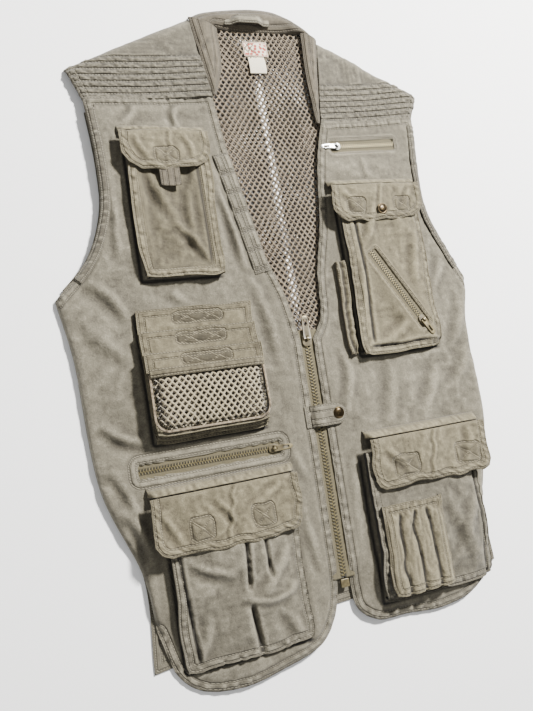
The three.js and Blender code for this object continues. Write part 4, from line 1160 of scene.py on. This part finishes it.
def net_pocket():
    """Bag of net over the lowest flat pocket: two layers, bulged, gathered at a bound mouth."""
    x0, x1, foot, top, base, crown = rect("mesh_pocket")

    def dome(x, y, drop=0.0):
        side = np.minimum(np.minimum(x - x0, x1 - x), y - foot)
        share = np.sin(np.clip(side / 20, 0, 1) * math.pi / 2) ** 0.8
        lower = front_height(x, y) - FRONT_TOP
        sag = 0.78 + 0.22 * smooth(top - y, 0, 50)
        bulge = (crown - base - drop) * share * sag
        return lower + base + bulge + 1.1 * noise(x / 16, y / 14, 4) * share - drop * 0.3

    quarter = np.linspace(0, math.pi / 2, 9)
    left_corner = [(x0 + 14 - 14 * math.cos(a), foot + 14 - 14 * math.sin(a)) for a in quarter]
    right_corner = [(x1 - 14 + 14 * math.sin(a), foot + 14 - 14 * math.cos(a)) for a in quarter]
    outline = np.array([(x0, top), *left_corner, *right_corner, (x1, top)])
    outer = net("net_pocket_outer", outline, lambda x, y: dome(x, y), 7.0, 4.2, (3.3, 4.2), 1.7, NET_POCKET,
                ["mesh_pocket"])
    as_sheet(outer)
    inner = net("net_pocket_inner", outline, lambda x, y: dome(x, y, 2.8), 6.8, 4.1, (3.5, 4.5), 1.3,
                NET_SHADE, turn=2.0)
    as_sheet(inner)
    rim = np.concatenate([outline[:1] + (0.5, 0), outline[1:-1], outline[-1:] - (0.5, 0)])
    x, y, u = ribbon(even(rim, 220), 2.6, 220, 7)
    z = dome(np.clip(x, x0 + 0.8, x1 - 0.8), np.maximum(y, foot + 0.8)) + 0.6 * (1 - u**2)
    z = z + 0.4 * noise(x / 3, y / 3, 4)
    sewn("net_pocket_hem", None, "folded", "net_pocket_outer", x, y, z, NET, 1.4, slot="net")
    x, y, u = ribbon([(x0 + 0.5, top + 1.5), (x1 - 0.5, top + 1.5)], 9.0, 120, 9)
    side = np.minimum(x - x0, x1 - x)
    z = dome(np.clip(x, x0 + 2, x1 - 2), np.full_like(y, top - 14)) + 0.5 * (1 - u**4) + 0.5
    z = z + 0.4 * noise(x / 4, y / 9, 6)
    sewn("net_pocket_mouth", None, "folded", "net_pocket_outer", x, y, z, TWILL_WARM, 1.5,
         edge=4.4 * (1 - np.abs(u)) + 0.7, flip=True)


def pleat(x, y, at, low, high, depth, width, lean=0.0):
    """A fold: steep on one side and slow on the other, open at the middle and shut at its ends; its dark edge
    is painted shade that the pocket lays in.
    """
    run = smooth(y, low, low + 12) * (1 - smooth(y, high - 12, high))
    d = x - at - lean * (y - (low + high) / 2)
    steep = np.exp(-np.clip(d, 0, None) / width) * (d >= 0)
    slopes = steep + np.exp(-np.clip(-d, 0, None) / (width * 4.0)) * (d < 0)
    cleft = np.exp(-((d / width) ** 2))
    return run * (-depth * cleft + 0.45 * depth * (slopes - cleft))


# Pleats of the right lower pocket: place across, foot, head, depth, half width and lean.
SLITS = [(-107, -284, -224, 6.0, 2.2, 0.05), (-83, -278, -224, 5.0, 2.0, -0.05),
         (-104, -378, -294, 7.5, 2.8, -0.12)]


def lower_pocket(side):
    """Large bellows pocket at the hem: full at its outer side, running out flat into the front."""
    node = f"lower_pocket_{side}"
    x0, x1, foot, top = rect(node)[:4]
    deep = 14.0
    x, y, share, edge = pocket_grid(x0, x1, foot, top, deep, 1.9, 4.5, bend=2.6)
    z = front_height(x, y) + 0.3
    if side == "right":
        full = smooth(x1 - x, -4, 48) * smooth(y - foot, -26, 96)
    else:
        full = smooth(x1 - x, -20, 34) * smooth(y - foot, -40, 60)
    body = 2.2 + (deep - 2.2) * full
    soft = smooth(edge, 3, 18)
    shift = 200 if side == "right" else 310
    body = body + soft * (2.6 * crumple(x, y, shift, 1.6) + 0.9 * crumple(y, x, 51, 0.6) + 1.1 * drags(x, y))
    slit_shade = np.zeros_like(x)
    if side == "right":
        for at, low, high, depth, width, lean in SLITS:
            body = body + pleat(x, y, at, low, high, depth, width, lean)
            off = x - at - lean * (y - (low + high) / 2)
            ends = smooth(y, low, low + 26) * (1 - smooth(y, high - 14, high))
            slit_shade = slit_shade + np.exp(-((off / 1.5) ** 2)) * ends
        arch = np.hypot((x + 84) / 26, (y + 286) / 11)
        body = body + 2.4 * np.exp(-((arch - 1) / 0.28) ** 2) * smooth(-y, 276, 292)
        line = x - x0 - 7.5 - 9.0 * smooth(-y, 232, 372)
        crease = np.exp(-((line / 1.7) ** 2)) * smooth(y, foot + 2, foot + 16)
        body = body - 5.0 * crease - 3.0 * smooth(-line, 0, 6)
        slit_shade = slit_shade + crease
    else:
        crease = np.exp(-(((x - x1 + 9 + 3 * noise(y / 24, 3, 5)) / 1.6) ** 2))
        body = body - 3.0 * crease - 1.5 * smooth(box_sdf(x, y, 60, 136, -331, -228) * -1, 0, 8)
        slit_shade = slit_shade + 0.7 * crease
    z = z + share * (np.maximum(body, 1.2) + 1.2 * round_rungs(x, y, x0, x1, foot))
    # Painted shade: at the wall feet, along the pleats and creases, and over the whole left pocket.
    tone = -wall_shade(share) * smooth(full, 0.0, 0.3) - 0.9 * np.clip(slit_shade, 0, 1)
    tone = tone - (0.0 if side == "right" else 0.3)
    sewn(f"lower_pocket_cloth_{side}", node, "folded", f"front_cloth_{side}", x, y, z,
         edge=np.maximum(edge, 0), tone=tone)


def channels():
    """Four narrow tool channels side by side under a gathered elastic mouth."""
    x0, x1, foot, top, base, crown = rect("channel_pocket_left")
    deep = crown - base
    x, y, share, edge = pocket_grid(x0, x1, foot, top, deep, 1.5, 1.5)
    from_side = smooth(np.minimum(x - x0, x1 - x), 0, 10)
    lane = (x - x0) / (x1 - x0) * 4 + 0.14 * noise(y / 20, x / 24, 2) * from_side
    round_top = np.abs(np.sin(math.pi * lane)) ** 0.5
    below = smooth(top - y, 8, 15)
    gather = noise(x / 2.4, y / 14, 3) * 0.8 * (1 - below)
    z = front_height(x, y) + base - FRONT_TOP - 1.2
    body = deep * (below * (0.15 + 0.95 * round_top) + (1 - below) * 0.8) + gather
    body = body + 1.6 * crumple(x * 1.8, y * 0.55, 83, 0.5) * below
    body = body + 0.8 * rungs(np.abs(top - y) + 0.4, x, 3, 16)
    z = z + share * body
    # Painted shade in the troughs between the channels and at the wall feet.
    tone = -1.0 * (1 - smooth(round_top, 0.2, 0.7)) * below * smooth(edge, 1, 3) - wall_shade(share)
    sewn("channel_cloth", "channel_pocket_left", "gathered", "lower_pocket_cloth_left", x, y, z,
         TWILL_WARM, edge=np.minimum(np.maximum(edge, 0), np.abs(top - y) + 0.5), tone=tone)


def bellows_pocket():
    """Chest bellows pocket with a slanted zip across its face."""
    x0, x1, foot, top = rect("bellows_pocket_left")[:4]
    deep = 11.0
    x, y, share, edge = pocket_grid(x0, x1, foot, top, deep, 1.7, 4.0, bend=2.4)
    lift, mark, out = welt(SLANT_ZIP, x, y)
    calm = smooth(out, 5, 22)
    folds = 3.0 * crumple(x * 1.2, y * 0.7, 140, 1.3) + 1.0 * crumple(y, x, 11, 0.55) + 1.2 * drags(x, y)
    away = smooth(x1 - x, -22, 26)
    body = deep * (1 - (1 - away) * calm * 0.8) + folds * calm * smooth(edge, 3, 14) + lift
    curl_in = x - x0 - 15 - 5 * np.sin((top - y) / 70)
    crease = np.exp(-((curl_in / 1.6) ** 2)) * smooth(y, foot + 8, foot + 22)
    ledge = np.exp(-(((y - foot - 9.5 - 1.6 * noise(x / 22, 2, 4)) / 1.6) ** 2)) * smooth(x, x0 + 8, x0 + 20)
    # dark: the crease and ledge lines, sunk in height and darkened as painted shade.
    dark = np.maximum(crease, ledge * (1 - smooth(x, x1 - 34, x1 - 12)))
    body = body - 3.6 * dark - 3.2 * smooth(foot + 8 - y, -3, 1) * smooth(x, x0 + 5, x0 + 16)
    z = front_height(x, y) + 0.3 + share * (np.maximum(body, 1.4) + 1.2 * round_rungs(x, y, x0, x1, foot))
    # Painted shade at the wall feet, in the zip slot, the crease and the ledge; and the pocket a little
    # darker all over.
    tone = -wall_shade(share) - 0.5 * smooth(-out, -0.5, 1.5) - 0.9 * dark - 0.15
    sewn("bellows_cloth", "bellows_pocket_left", "folded", "front_cloth_left", x, y, z, TWILL_WARM,
         edge=np.maximum(edge, 0), mark=mark, tone=tone)
    x0, x1, foot, top, base, crown = rect("side_pocket_left")
    x, y, share, edge = pocket_grid(x0, x1, foot, top, crown - base, 1.5, 1.0)
    pleated = 0.62 + 0.2 * np.sin((x - x0) / (x1 - x0) * 9 + 1.5 * noise(y / 26, 2, 3))
    z = front_height(x, y) + 0.3 + share * ((crown - base) * pleated + 1.2 * round_rungs(x, y, x0, x1, foot))
    # Painted shade in the pleat troughs and at the wall feet.
    sewn("side_pocket_cloth", "side_pocket_left", "folded", "front_cloth_left", x, y, z, TWILL_WARM,
         edge=np.minimum(np.maximum(edge, 0) + 0.8, 3.5),
         tone=-0.9 * smooth(-pleated, -0.55, -0.42) - 0.9 * wall_shade(share))


chest_pocket()
for place, tier_name in enumerate(("upper", "middle", "lower"), 1):
    tier(tier_name, place)
net_pocket()
lower_pocket("right")
lower_pocket("left")
channels()
bellows_pocket()


# ---------------------------------------------------------------- flaps
def low_end(x, x1, drop):
    """How far a flap and its header sink towards their right end."""
    return drop * smooth(x, x1 - 75, x1)


def flap(key, level, x0, x1, hinge, free, corner, pads, curl=0.0, sink=0.0):
    """Pocket flap: straight at its fold, corners cut off, waved at the free edge, pads pressed through."""
    place, half = key.split("_")
    cut_x, cut_y = corner * 0.35, free + corner * 0.35
    mid = [(x0, free + corner), (x0 + cut_x, cut_y), (x0 + corner, free), ((x0 + x1) / 2, free),
           (x1 - corner, free), (x1 - cut_x, cut_y), (x1, free + corner)]
    cols, rows = int((x1 - x0) / 1.6), int((hinge - free) / 1.4)
    x, y = ruled(even([(x0, hinge + 0.8), (x1, hinge + 0.8)], cols), even(mid, cols), rows)
    edge = reach(np.array([(x0, hinge), *mid, (x1, hinge)], float), x, y)
    sway = smooth(hinge - y, 2, 20)
    x, y = x + 2.4 * noise(x / 50, y / 18, 7) * sway, y + (2.8 * noise(x / 19, y / 60, 5) + 0.8) * sway
    down = np.clip((hinge - y) / (hinge - free), 0, 1)
    z = level + 1.5 + front_height(x, y) - FRONT_TOP
    z = z + down * 1.5 * noise(x / 17, y / 40, 3) + smooth(edge, 2, 12) * (
        1.6 * crumple(x, y, 63 + x0, 1.1) + 0.75 * crumple(y, x, x0, 0.45) + drags(x, y))
    fold = x - (x0 + x1) / 2 - 5 + (hinge - y) * 0.22 + 2 * noise(y / 9, x0, 3)
    ridge = np.exp(-((fold - 2.6) / 2.2) ** 2) - np.exp(-((fold + 0.8) / 1.5) ** 2)
    z = z + 1.1 * ridge * smooth(edge, 1, 8)
    z = z - low_end(x, x1, sink) - 1.2 * (1 - np.clip(edge / 5, 0, 1)) ** 2 * down
    z = z - 0.8 * np.exp(-((hinge + 0.8 - y) / 1.2) ** 2)
    from_end = (x1 - x) if curl < 0 else (x - x0)
    z = z + abs(curl) * down**1.5 * np.exp(-((from_end / 11) ** 2)) + 1.2 * rungs(edge, x + 1.3 * y)
    marks = np.full_like(x, NO_STITCH)
    tone = np.zeros_like(x)
    for pad in pads:
        out, mark = crossed(x, y, *pad)
        z = z + pressed(out, 0.5)
        marks = np.where(np.abs(mark) < np.abs(marks), mark, marks)
        tone = tone - 0.34 * smooth(-out, -0.5, 1.2)
    sewn(f"{key}_flap_cloth", f"{place}_flap_{half}", "folded", f"front_cloth_{half}", x, y, z, TWILL_WARM,
         1.6, body=f"{half}_{place}_flap", edge=edge, mark=marks, tone=tone)


def header(key, level, x0, x1, hinge, sink=0.0):
    """Sewn strip above a flap's fold: down from the flap's fold to the front, gathered like a ladder."""
    cols, rows = int((x1 - x0) / 1.3), 16
    x, v = np.meshgrid(np.linspace(x0, x1, cols), np.linspace(0, 1, rows))
    y = hinge + 11.5 - 10.0 * v
    rise = level - FRONT_TOP - 2.3 - low_end(x, x1, sink)
    ends = smooth(np.minimum(x - x0, x1 - x), -1, 7)
    z = front_height(x, y) + 0.5 + rise * np.sin(v * math.pi / 2) ** 0.8 * (0.25 + 0.75 * ends)
    z = z + (1.2 * noise(x / 4.0, v * 0.8, 5) + 0.6 * noise(x / 9, v * 2, 2)) * np.sin(math.pi * v) ** 0.7
    edge = np.minimum(hinge + 11.5 - y, y - hinge + 0.4)
    groove = np.exp(-(((v - 0.97) / 0.06) ** 2))
    # Painted shade: a little all over, and more in the groove at the flap's fold.
    sewn(f"{key}_header", None, "gathered", f"front_cloth_{key.split('_')[1]}", x, y, z, TWILL_WARM,
         edge=np.minimum(edge + 1.2, 6), tone=-0.1 - 0.7 * groove)


FLAPS = {
    "chest_right": dict(x0=-177, x1=-76, hinge=226, free=182, corner=18, pads=[(-141, -114, 189, 206)]),
    "chest_left": dict(x0=67, x1=190, hinge=156, free=111, corner=16,
                       pads=[(86, 109, 120, 139), (149, 172, 120, 139)]),
    "lower_right": dict(x0=-200, x1=-36, hinge=-170, free=-232, corner=14, curl=4.5, sink=5.5,
                        pads=[(-163, -138, -220, -196), (-94, -69, -220, -196)]),
    "lower_left": dict(x0=57, x1=216, hinge=-151, free=-210, corner=12, curl=-4.0,
                       pads=[(84, 117, -198, -174), (170, 203, -198, -174)]),
}
for key, cut in FLAPS.items():
    place, half = key.split("_")
    fold_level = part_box(f"{place}_flap_{half}")[1].z / MM - 1.5
    flap(key, fold_level, **cut)
    header(key, fold_level, cut["x0"], cut["x1"], cut["hinge"], cut.get("sink", 0.0))


# ---------------------------------------------------------------- webbing and tabs
def storm_tab():
    """Tab over the main zip: sewn foot, arch over the chain, flat rounded end under the snap."""
    x0, x1, y0, y1 = rect("storm_tab")[:4]
    run = curve((x0, 11.6), (0, 12.9), (4, 16.2), (9, 17.7), (15, 16.6), (20, 15.8), (30, 15.8), (x1, 15.6))
    run = even(run, 52)
    v = np.linspace(-1, 1, 24)[:, None]
    half = (y1 - y0) / 2
    x = run[None, :, 0] * np.ones_like(v)
    past = np.clip((x - (x1 - half)) / half, 0, 0.97)
    y = (y0 + y1) / 2 - v * half * np.sqrt(1 - past**2)
    z = run[None, :, 1] + 0.35 * noise(x / 8, y / 6, 3) - 0.3 * np.abs(v) ** 6 + 0.2
    edge = np.minimum(half * (1 - np.abs(v)) * np.sqrt(1 - past**2) + 0.5, (x1 - x) + 0.5)
    sewn("storm_tab_cloth", "storm_tab", "folded", "front_cloth_right", x, y, z, TWILL, 1.5, body="tab",
         edge=edge)
    x, y = np.meshgrid(np.linspace(x0 - 7, x0 - 0.8, 8), np.linspace(y1, y0, 24))
    z = front_height(x, y) + 1.2 + 0.2 * noise(x / 3, y / 3, 1)
    sewn("storm_tab_foot", None, "folded", "front_cloth_right", x, y, z, edge=np.abs(x - x0 + 3) + 1.2)


def tool_strip():
    """Strip of webbing down the right front: bar-tacked at equal steps, bowed up between the tacks."""
    pitch, width = 142 / 6, 20.0
    run = np.linspace(0, 147, 150)
    phase = (run / pitch) % 1.0
    bow = 1.3 * np.clip(np.sin(math.pi * np.clip((phase - 0.08) / 0.86, 0, 1)), 0, 1) ** 0.45
    bow[run > 142] = 0
    u = np.linspace(-1, 1, 17)[None, :] * np.ones((len(run), 1))
    turn = math.radians(11.5)
    along, across = run[:, None] * np.ones_like(u), u * width / 2 + width / 2
    x = -61 + across * math.cos(turn) + along * math.sin(turn) - width / 2 * math.cos(turn)
    y = 204 + across * math.sin(turn) - along * math.cos(turn) - width / 2 * math.sin(turn)
    z = front_height(x, y) + 1.5 + bow[:, None] - 0.9 * np.abs(u) ** 8 + 0.5 * noise(x / 8, y / 8, 8)
    tack = np.minimum(phase, 1 - phase)[:, None] * pitch - 2.2 + 0 * u
    # Painted shade in the dip at each bar tack.
    sewn("tool_strip_webbing", "tool_strip", "laid", "front_cloth_right", x, y, z, TWILL, WEBBING,
         edge=10 * (1 - np.abs(u)) + 0.6, mark=tack, tone=-0.85 * np.exp(-((tack / 1.3) ** 2)))


def pull_loop():
    """Folded webbing under the chest flap: down in front, round its foot and back up behind."""
    low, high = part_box("flap_pull_loop")
    x0, x1 = low.x / MM - PATTERN[0], high.x / MM - PATTERN[0]
    foot, top = low.y / MM - PATTERN[1], high.y / MM - PATTERN[1]
    mid, half = (low.z + high.z) / 2 / MM, (high.z - low.z) / 2 / MM - 0.5
    turn = np.linspace(0, math.pi, 13)
    path = np.concatenate([
        [(top + 1.0, mid + half - 0.4), (top - 6, mid + half)],
        np.stack([foot + 2.6 - 2.4 * np.sin(turn), mid + half * np.cos(turn)], -1),
        [(top - 6, mid - half), (top - 0.5, mid - half + 0.3)]])
    path = even(path, 60)
    x = np.linspace(x0, x1, 26)[None, :] * np.ones((60, 1))
    bulge = 1.1 * (1 - ((x - (x0 + x1) / 2) / (x1 - x0) * 2) ** 2)
    y = path[:, 0][:, None] - bulge * smooth(top - path[:, 0][:, None], 3, 16)
    z = path[:, 1][:, None] + 0.3 * noise(x / 7, y / 7, 2)
    edge = np.minimum(x - x0, x1 - x) + 0.8
    # Painted shade: the shaded twill, for a loop that lies under the flap.
    sewn("pull_loop_webbing", "flap_pull_loop", "folded", "chest_pocket_cloth", x, y, z, TWILL_PAINTED_SHADE, 0.9,
         body="right_chest_flap", edge=edge)


def flat_patch(node, cols, rows):
    """Grid over a CAD node's box, the distance in from its sides, and the node's base and crown."""
    x0, x1, y0, y1, base, crown = rect(node)
    x, y = np.meshgrid(np.linspace(x0, x1, cols), np.linspace(y1, y0, rows))
    return x, y, np.minimum(np.minimum(x - x0, x1 - x), np.minimum(y - y0, y1 - y)), base, crown


def labels():
    """Neck label with its border, and the blank care label folded under it."""
    x, y, edge, _, _ = flat_patch("neck_label", 32, 22)
    z = 6.6 + 0.5 * noise(x / 12, y / 10, 3)
    sewn("neck_label_cloth", "neck_label", "laid", "lining_net", x, y, z, LABEL, 0.7, slot="label",
         edge=edge, tone=1.0)
    x0, x1, y0, y1 = rect("care_label")[:4]
    x, v = np.meshgrid(np.linspace(x0, x1, 24), np.linspace(0, 1, 24))
    y = y1 - 0.5 - (y1 - y0) * v
    z = 6.4 + 3.0 * np.sin(v * math.pi * 0.8) * (0.6 + 0.4 * (x - x0) / (x1 - x0))
    sewn("care_label_cloth", "care_label", "folded", "neck_label_cloth", x, y, z, LABEL, 0.6, slot="label",
         edge=4.0, tone=0.0)


def pads():
    """Napped pads: on the chest pocket, under its flap, and inside the three flat pockets."""
    for node, body, lower in (
        ("chest_hook_pad_right", "right_chest_flap", ["chest_right_flap_cloth"]),
        ("chest_loop_pad_right", "vest", ["chest_pocket_cloth"]),
        ("tier_pad_upper", "vest", ["tier_cloth_upper"]),
        ("tier_pad_middle", "vest", ["tier_cloth_middle"]),
        ("tier_pad_lower", "vest", ["tier_cloth_lower"]),
    ):
        x, y, side, base, crown = flat_patch(node, 34, 16)
        z = crown - 0.5 * (1 - smooth(side, 0, 2)) + 0.12 * noise(x / 2, y / 2, 3)
        z = z + front_height(x, y) - FRONT_TOP - (1.3 if node.startswith("tier") else 0.0)
        sewn(node.replace("pad", "nap"), node, "laid", lower, x, y, z, PAD, crown - base - 0.2, body=body,
             slot="pad")


def pouches():
    """Inner bags of the two zipped pockets: flat envelopes hung under the fronts."""
    for node, name in (("hip_pocket_bag", "hip_pouch"), ("chest_pocket_bag", "chest_pouch")):
        x, y, side, _, crown = flat_patch(node, 60, 44)
        z = crown - 0.8 - 0.7 * (1 - smooth(side, 0, 6)) + 0.25 * crumple(x, y, 5)
        front_over = "front_cloth_right" if x[0, 0] < 0 else "front_cloth_left"
        sewn(name, node, "hung", front_over, x, y, z, NET_SHADE, 1.6, slot="lining")


storm_tab()
tool_strip()
pull_loop()
labels()
pads()
pouches()


# ---------------------------------------------------------------- zips
def on_zip(zip_at, across, run, z, level):
    """Places a zip's own coordinates on the vest: turned by the zip's turn and moved to its head."""
    x0, y0, _, turn = zip_at
    c, s = math.cos(math.radians(turn)), math.sin(math.radians(turn))
    return x0 + c * across - s * run, y0 + s * across + c * run, z + level


def zip_tapes(name, nodes, zip_at, level, half, head, foot, slot_half=0.7):
    """Both woven tapes of a zip, each a thin closed strip beside the chain."""
    count = int((head - foot) / 1.6)
    run, u = np.meshgrid(np.linspace(head, foot, count), np.linspace(0, 1, 12), indexing="ij")
    for sign, side, node in zip((-1, 1), ("right", "left"), [*nodes, None]):
        across = sign * (slot_half + (half - slot_half) * u)
        lift = 0.25 * noise(run / 9, across, 5) * u
        x, y, z = on_zip(zip_at, across, run, 0.5 + lift, level)
        sewn(f"{name}_tape_{side}", node, "laid", "front_cloth_right", x, y, z, TAPE, 1.0, slot="zip_tape",
             flip=sign < 0, across=across, run=run)


def zip_teeth(name, zip_at, level, bead, slot_half, rise, pitch, head, foot, finish):
    """Rows of teeth: a bevelled block made once and repeated along the chain, the rows half a step apart."""
    a, b = pitch * 0.23, pitch * 0.13
    ring = np.array([(0, -a), (1, -a), (1, a), (0, a)], float)
    inner = np.array([(0.14, -b), (0.86, -b), (0.86, b), (0.14, b)], float)
    shape = []
    for z, outline in ((-rise, inner), (-rise * 0.45, ring), (rise * 0.45, ring), (rise, inner)):
        shape += [(p[0], p[1], z) for p in outline]
    shape = np.array(shape)
    quads = [(3, 2, 1, 0), (12, 13, 14, 15)]
    for level_at in range(3):
        for k in range(4):
            n = (k + 1) % 4
            quads.append((level_at * 4 + k, level_at * 4 + n, level_at * 4 + 4 + n, level_at * 4 + 4 + k))
    quads = np.array(quads)
    verts, faces = [], []
    for sign in (-1, 1):
        starts = np.arange(foot + (pitch / 2 if sign > 0 else 0), head, pitch)
        across = sign * (shape[None, :, 0] * (bead + slot_half + 0.7) - 0.7)
        run = starts[:, None] + shape[None, :, 1] + 0.3 * pitch * shape[None, :, 0]
        x, y, z = on_zip(zip_at, across + 0 * run, run, shape[None, :, 2] + 0 * run, level)
        offset = sum(len(v) for v in verts)
        verts.append(metres(x, y, z).reshape(-1, 3))
        block = quads[:, ::-1] if sign < 0 else quads
        faces.append((block[None] + (np.arange(len(starts)) * 16)[:, None, None]).reshape(-1, 4) + offset)
    made = new_piece(f"{name}_teeth", np.concatenate(verts), np.concatenate(faces), finish, "vest")
    made.data.polygons.foreach_set("use_smooth", np.zeros(len(made.data.polygons), bool))


def rounded_copy(node, name, body, finish, width=0.35):
    """A CAD piece with its doubles merged and its edges rounded."""
    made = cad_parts[node].copy()
    made.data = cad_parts[node].data.copy()
    for key in [k for k in made.keys() if k.startswith("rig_")]:
        del made[key]
    made.name = name
    made.data.name = name
    bpy.context.collection.objects.link(made)
    made.parent = None
    made.matrix_world = Matrix.Identity(4)
    weld = made.modifiers.new("Weld", "WELD")
    weld.merge_threshold = 1e-5
    bevel = made.modifiers.new("Bevel", "BEVEL")
    bevel.width, bevel.segments, bevel.limit_method = width * MM, 3, "ANGLE"
    bevel.angle_limit = math.radians(28)
    evaluated = made.evaluated_get(bpy.context.evaluated_depsgraph_get())
    mesh = bpy.data.meshes.new_from_object(evaluated)
    made.modifiers.clear()
    made.data = mesh
    mesh.name = name
    mesh.materials.clear()
    mesh.materials.append(finish)
    mesh.polygons.foreach_set("use_smooth", np.ones(len(mesh.polygons), bool))
    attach(made, body)
    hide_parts(node)
    return made


POCKET_CHAIN = dict(half=10.5, bead=2.6, slot_half=0.5, rise=1.2, pitch=3.1, head=12.5)
ZIPS = {
    "main": dict(at=MAIN_ZIP, foot=-275.0, half=14.0, bead=3.45, slot_half=0.55, rise=1.6, pitch=3.8,
                 head=10.5),
    "hip": dict(at=HIP_ZIP, foot=-156.0, **POCKET_CHAIN),
    "chest": dict(at=CHEST_ZIP, foot=-88.0, **POCKET_CHAIN),
    "slant": dict(at=SLANT_ZIP, foot=-110.0, **POCKET_CHAIN),
}


def zip_parts(key, at, half, bead, slot_half, rise, pitch, head, foot):
    """A whole zip: its tapes, teeth, slider and pull."""
    nodes = [f"main_zip_tape_{side}" for side in ("right", "left")] if key == "main" else [f"{key}_zip_tape"]
    low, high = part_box(nodes[0])
    level = (low.z + high.z) / 2 / MM
    zip_tapes(f"{key}_zip", nodes, at, level, half, head, foot)
    zip_teeth(f"{key}_zip", at, level, bead, slot_half, rise, pitch, head - 2, foot + 3, TEETH)
    finish, slot = (SILVER, "silver_zip") if key == "chest" else (PAINTED, "painted_zip")
    rounded_copy(f"{key}_zip_slider", f"{key}_slider_metal", f"{key}_slider", finish)
    rounded_copy(f"{key}_zip_pull", f"{key}_pull_metal", f"{key}_pull", finish, 0.3)


for key, chain in ZIPS.items():
    zip_parts(key, **chain)
rounded_copy("main_zip_box", "main_box_metal", "vest", PAINTED, 0.8)


def turned_metal(node, name, body, profile):
    """A round fitting: its profile of radius and height carried round its own axis."""
    low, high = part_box(node)
    cx, cy = (low.x + high.x) / 2, (low.y + high.y) / 2
    profile = np.array(profile, float) * MM
    angle = np.linspace(0, 2 * math.pi, 48, endpoint=False)
    x = cx + profile[:, :1] * np.cos(angle)
    y = cy + profile[:, :1] * np.sin(angle)
    z = low.z + profile[:, 1:] + 0 * x
    count = len(profile)
    index = np.arange(count * 48).reshape(count, 48)
    after = np.roll(index, -1, axis=1)
    quads = np.stack([index[:-1], after[:-1], after[1:], index[1:]], -1).reshape(-1, 4)
    made = new_piece(name, np.stack([x, y, z], -1).reshape(-1, 3), quads, BRASS, body)
    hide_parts(node)
    return made


def snap_profile(node, radius):
    """Cap with a rolled rim and a ring round a low dome, over a stem and a socket ring."""
    low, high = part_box(node)
    top = (high.z - low.z) / MM
    return [(0.02, 0.4), (1.4, 0.4), (1.5, 0), (radius - 1.7, 0), (radius - 1.5, 0.3), (radius - 1.6, 1.2),
            (2.0, 1.3), (2.0, top - 1.8), (radius - 0.4, top - 1.75), (radius, top - 1.45),
            (radius, top - 1.15), (radius - 0.5, top - 0.75), (radius - 1.2, top - 0.72),
            (radius - 1.5, top - 0.95),
            (radius - 2.0, top - 0.62), (radius * 0.45, top - 0.2), (radius * 0.2, top - 0.04), (0.02, top)]


STUD = [(0.02, 0), (4.7, 0), (5, 0.25), (4.8, 0.7), (2.4, 0.8), (1.3, 0.95), (1.1, 1.3), (0.02, 1.4)]
SNAP_RADIUS = 6.75
for place, body in (("flap", "left_chest_flap"), ("tab", "tab")):
    cap = f"{place}_snap_cap"
    turned_metal(cap, f"{place}_snap_metal", body, snap_profile(cap, SNAP_RADIUS))
for place in ("flap", "tab"):
    turned_metal(f"{place}_snap_stud", f"{place}_stud_metal", "vest", STUD)


# ---------------------------------------------------------------- floor, light and camera
def plain_floor():
    """Pale matt floor under the vest."""
    size, z = 3.0, cad_box[0].z - 0.0004
    mesh = bpy.data.meshes.new("floor")
    corners = [(-size, -size, z), (size, -size, z), (size, size, z), (-size, size, z)]
    mesh.from_pydata(corners, [], [(0, 1, 2, 3)])
    f = Finish("pale_floor", Roughness=0.95)
    speck = f.grain(40, 3.0)
    mesh.materials.append(f.wear(Base_Color=f.mix(speck, (0.955, 0.955, 0.95, 1), (0.975, 0.975, 0.97, 1))))
    floor = bpy.data.objects.new("floor", mesh)
    bpy.context.collection.objects.link(floor)


def lamp(name, at, aim, power, size, colour=(1, 1, 1)):
    """Square studio lamp at a place, facing a point."""
    light = bpy.data.lights.new(name, "AREA")
    light.energy, light.size, light.color = power, size, colour
    made = bpy.data.objects.new(name, light)
    made.location = at
    made.rotation_euler = (Vector(aim) - Vector(at)).to_track_quat("-Z", "Y").to_euler()
    bpy.context.collection.objects.link(made)


plain_floor()
lamp("window_light", (0.95, 1.05, 1.5), (0, 0, 0), 190, 0.22, (1.0, 0.985, 0.96))
lamp("soft_fill", (-0.9, -1.0, 1.6), (0, 0, 0), 6, 1.8, (0.96, 0.98, 1.0))

world = bpy.data.worlds.new("studio")
world.use_nodes = True
world.node_tree.nodes["Background"].inputs["Color"].default_value = (1.0, 1.0, 1.0, 1.0)
world.node_tree.nodes["Background"].inputs["Strength"].default_value = 0.46
bpy.context.scene.world = world

EYE = Vector((-0.2924, -0.1092, 0.7011))
AIM = Vector((-0.0288, -0.0396, -0.0083))
ROLL = math.radians(9.28)


def aim_camera():
    """Camera above the vest's lower left, aimed near its middle and rolled a little."""
    camera = bpy.data.cameras.new("camera")
    camera.lens, camera.sensor_width = 32.9, 36
    made = bpy.data.objects.new("camera", camera)
    forward = (AIM - EYE).normalized()
    right = forward.cross(Vector((0, 1, 0))).normalized()
    up = right.cross(forward).normalized()
    tilted_up = (up * math.cos(ROLL) + right * math.sin(ROLL)).normalized()
    tilted_right = forward.cross(tilted_up).normalized()
    turn = Matrix((tilted_right, tilted_up, -forward)).transposed()
    made.matrix_world = Matrix.Translation(EYE) @ turn.to_4x4()
    bpy.context.collection.objects.link(made)
    bpy.context.scene.camera = made


aim_camera()
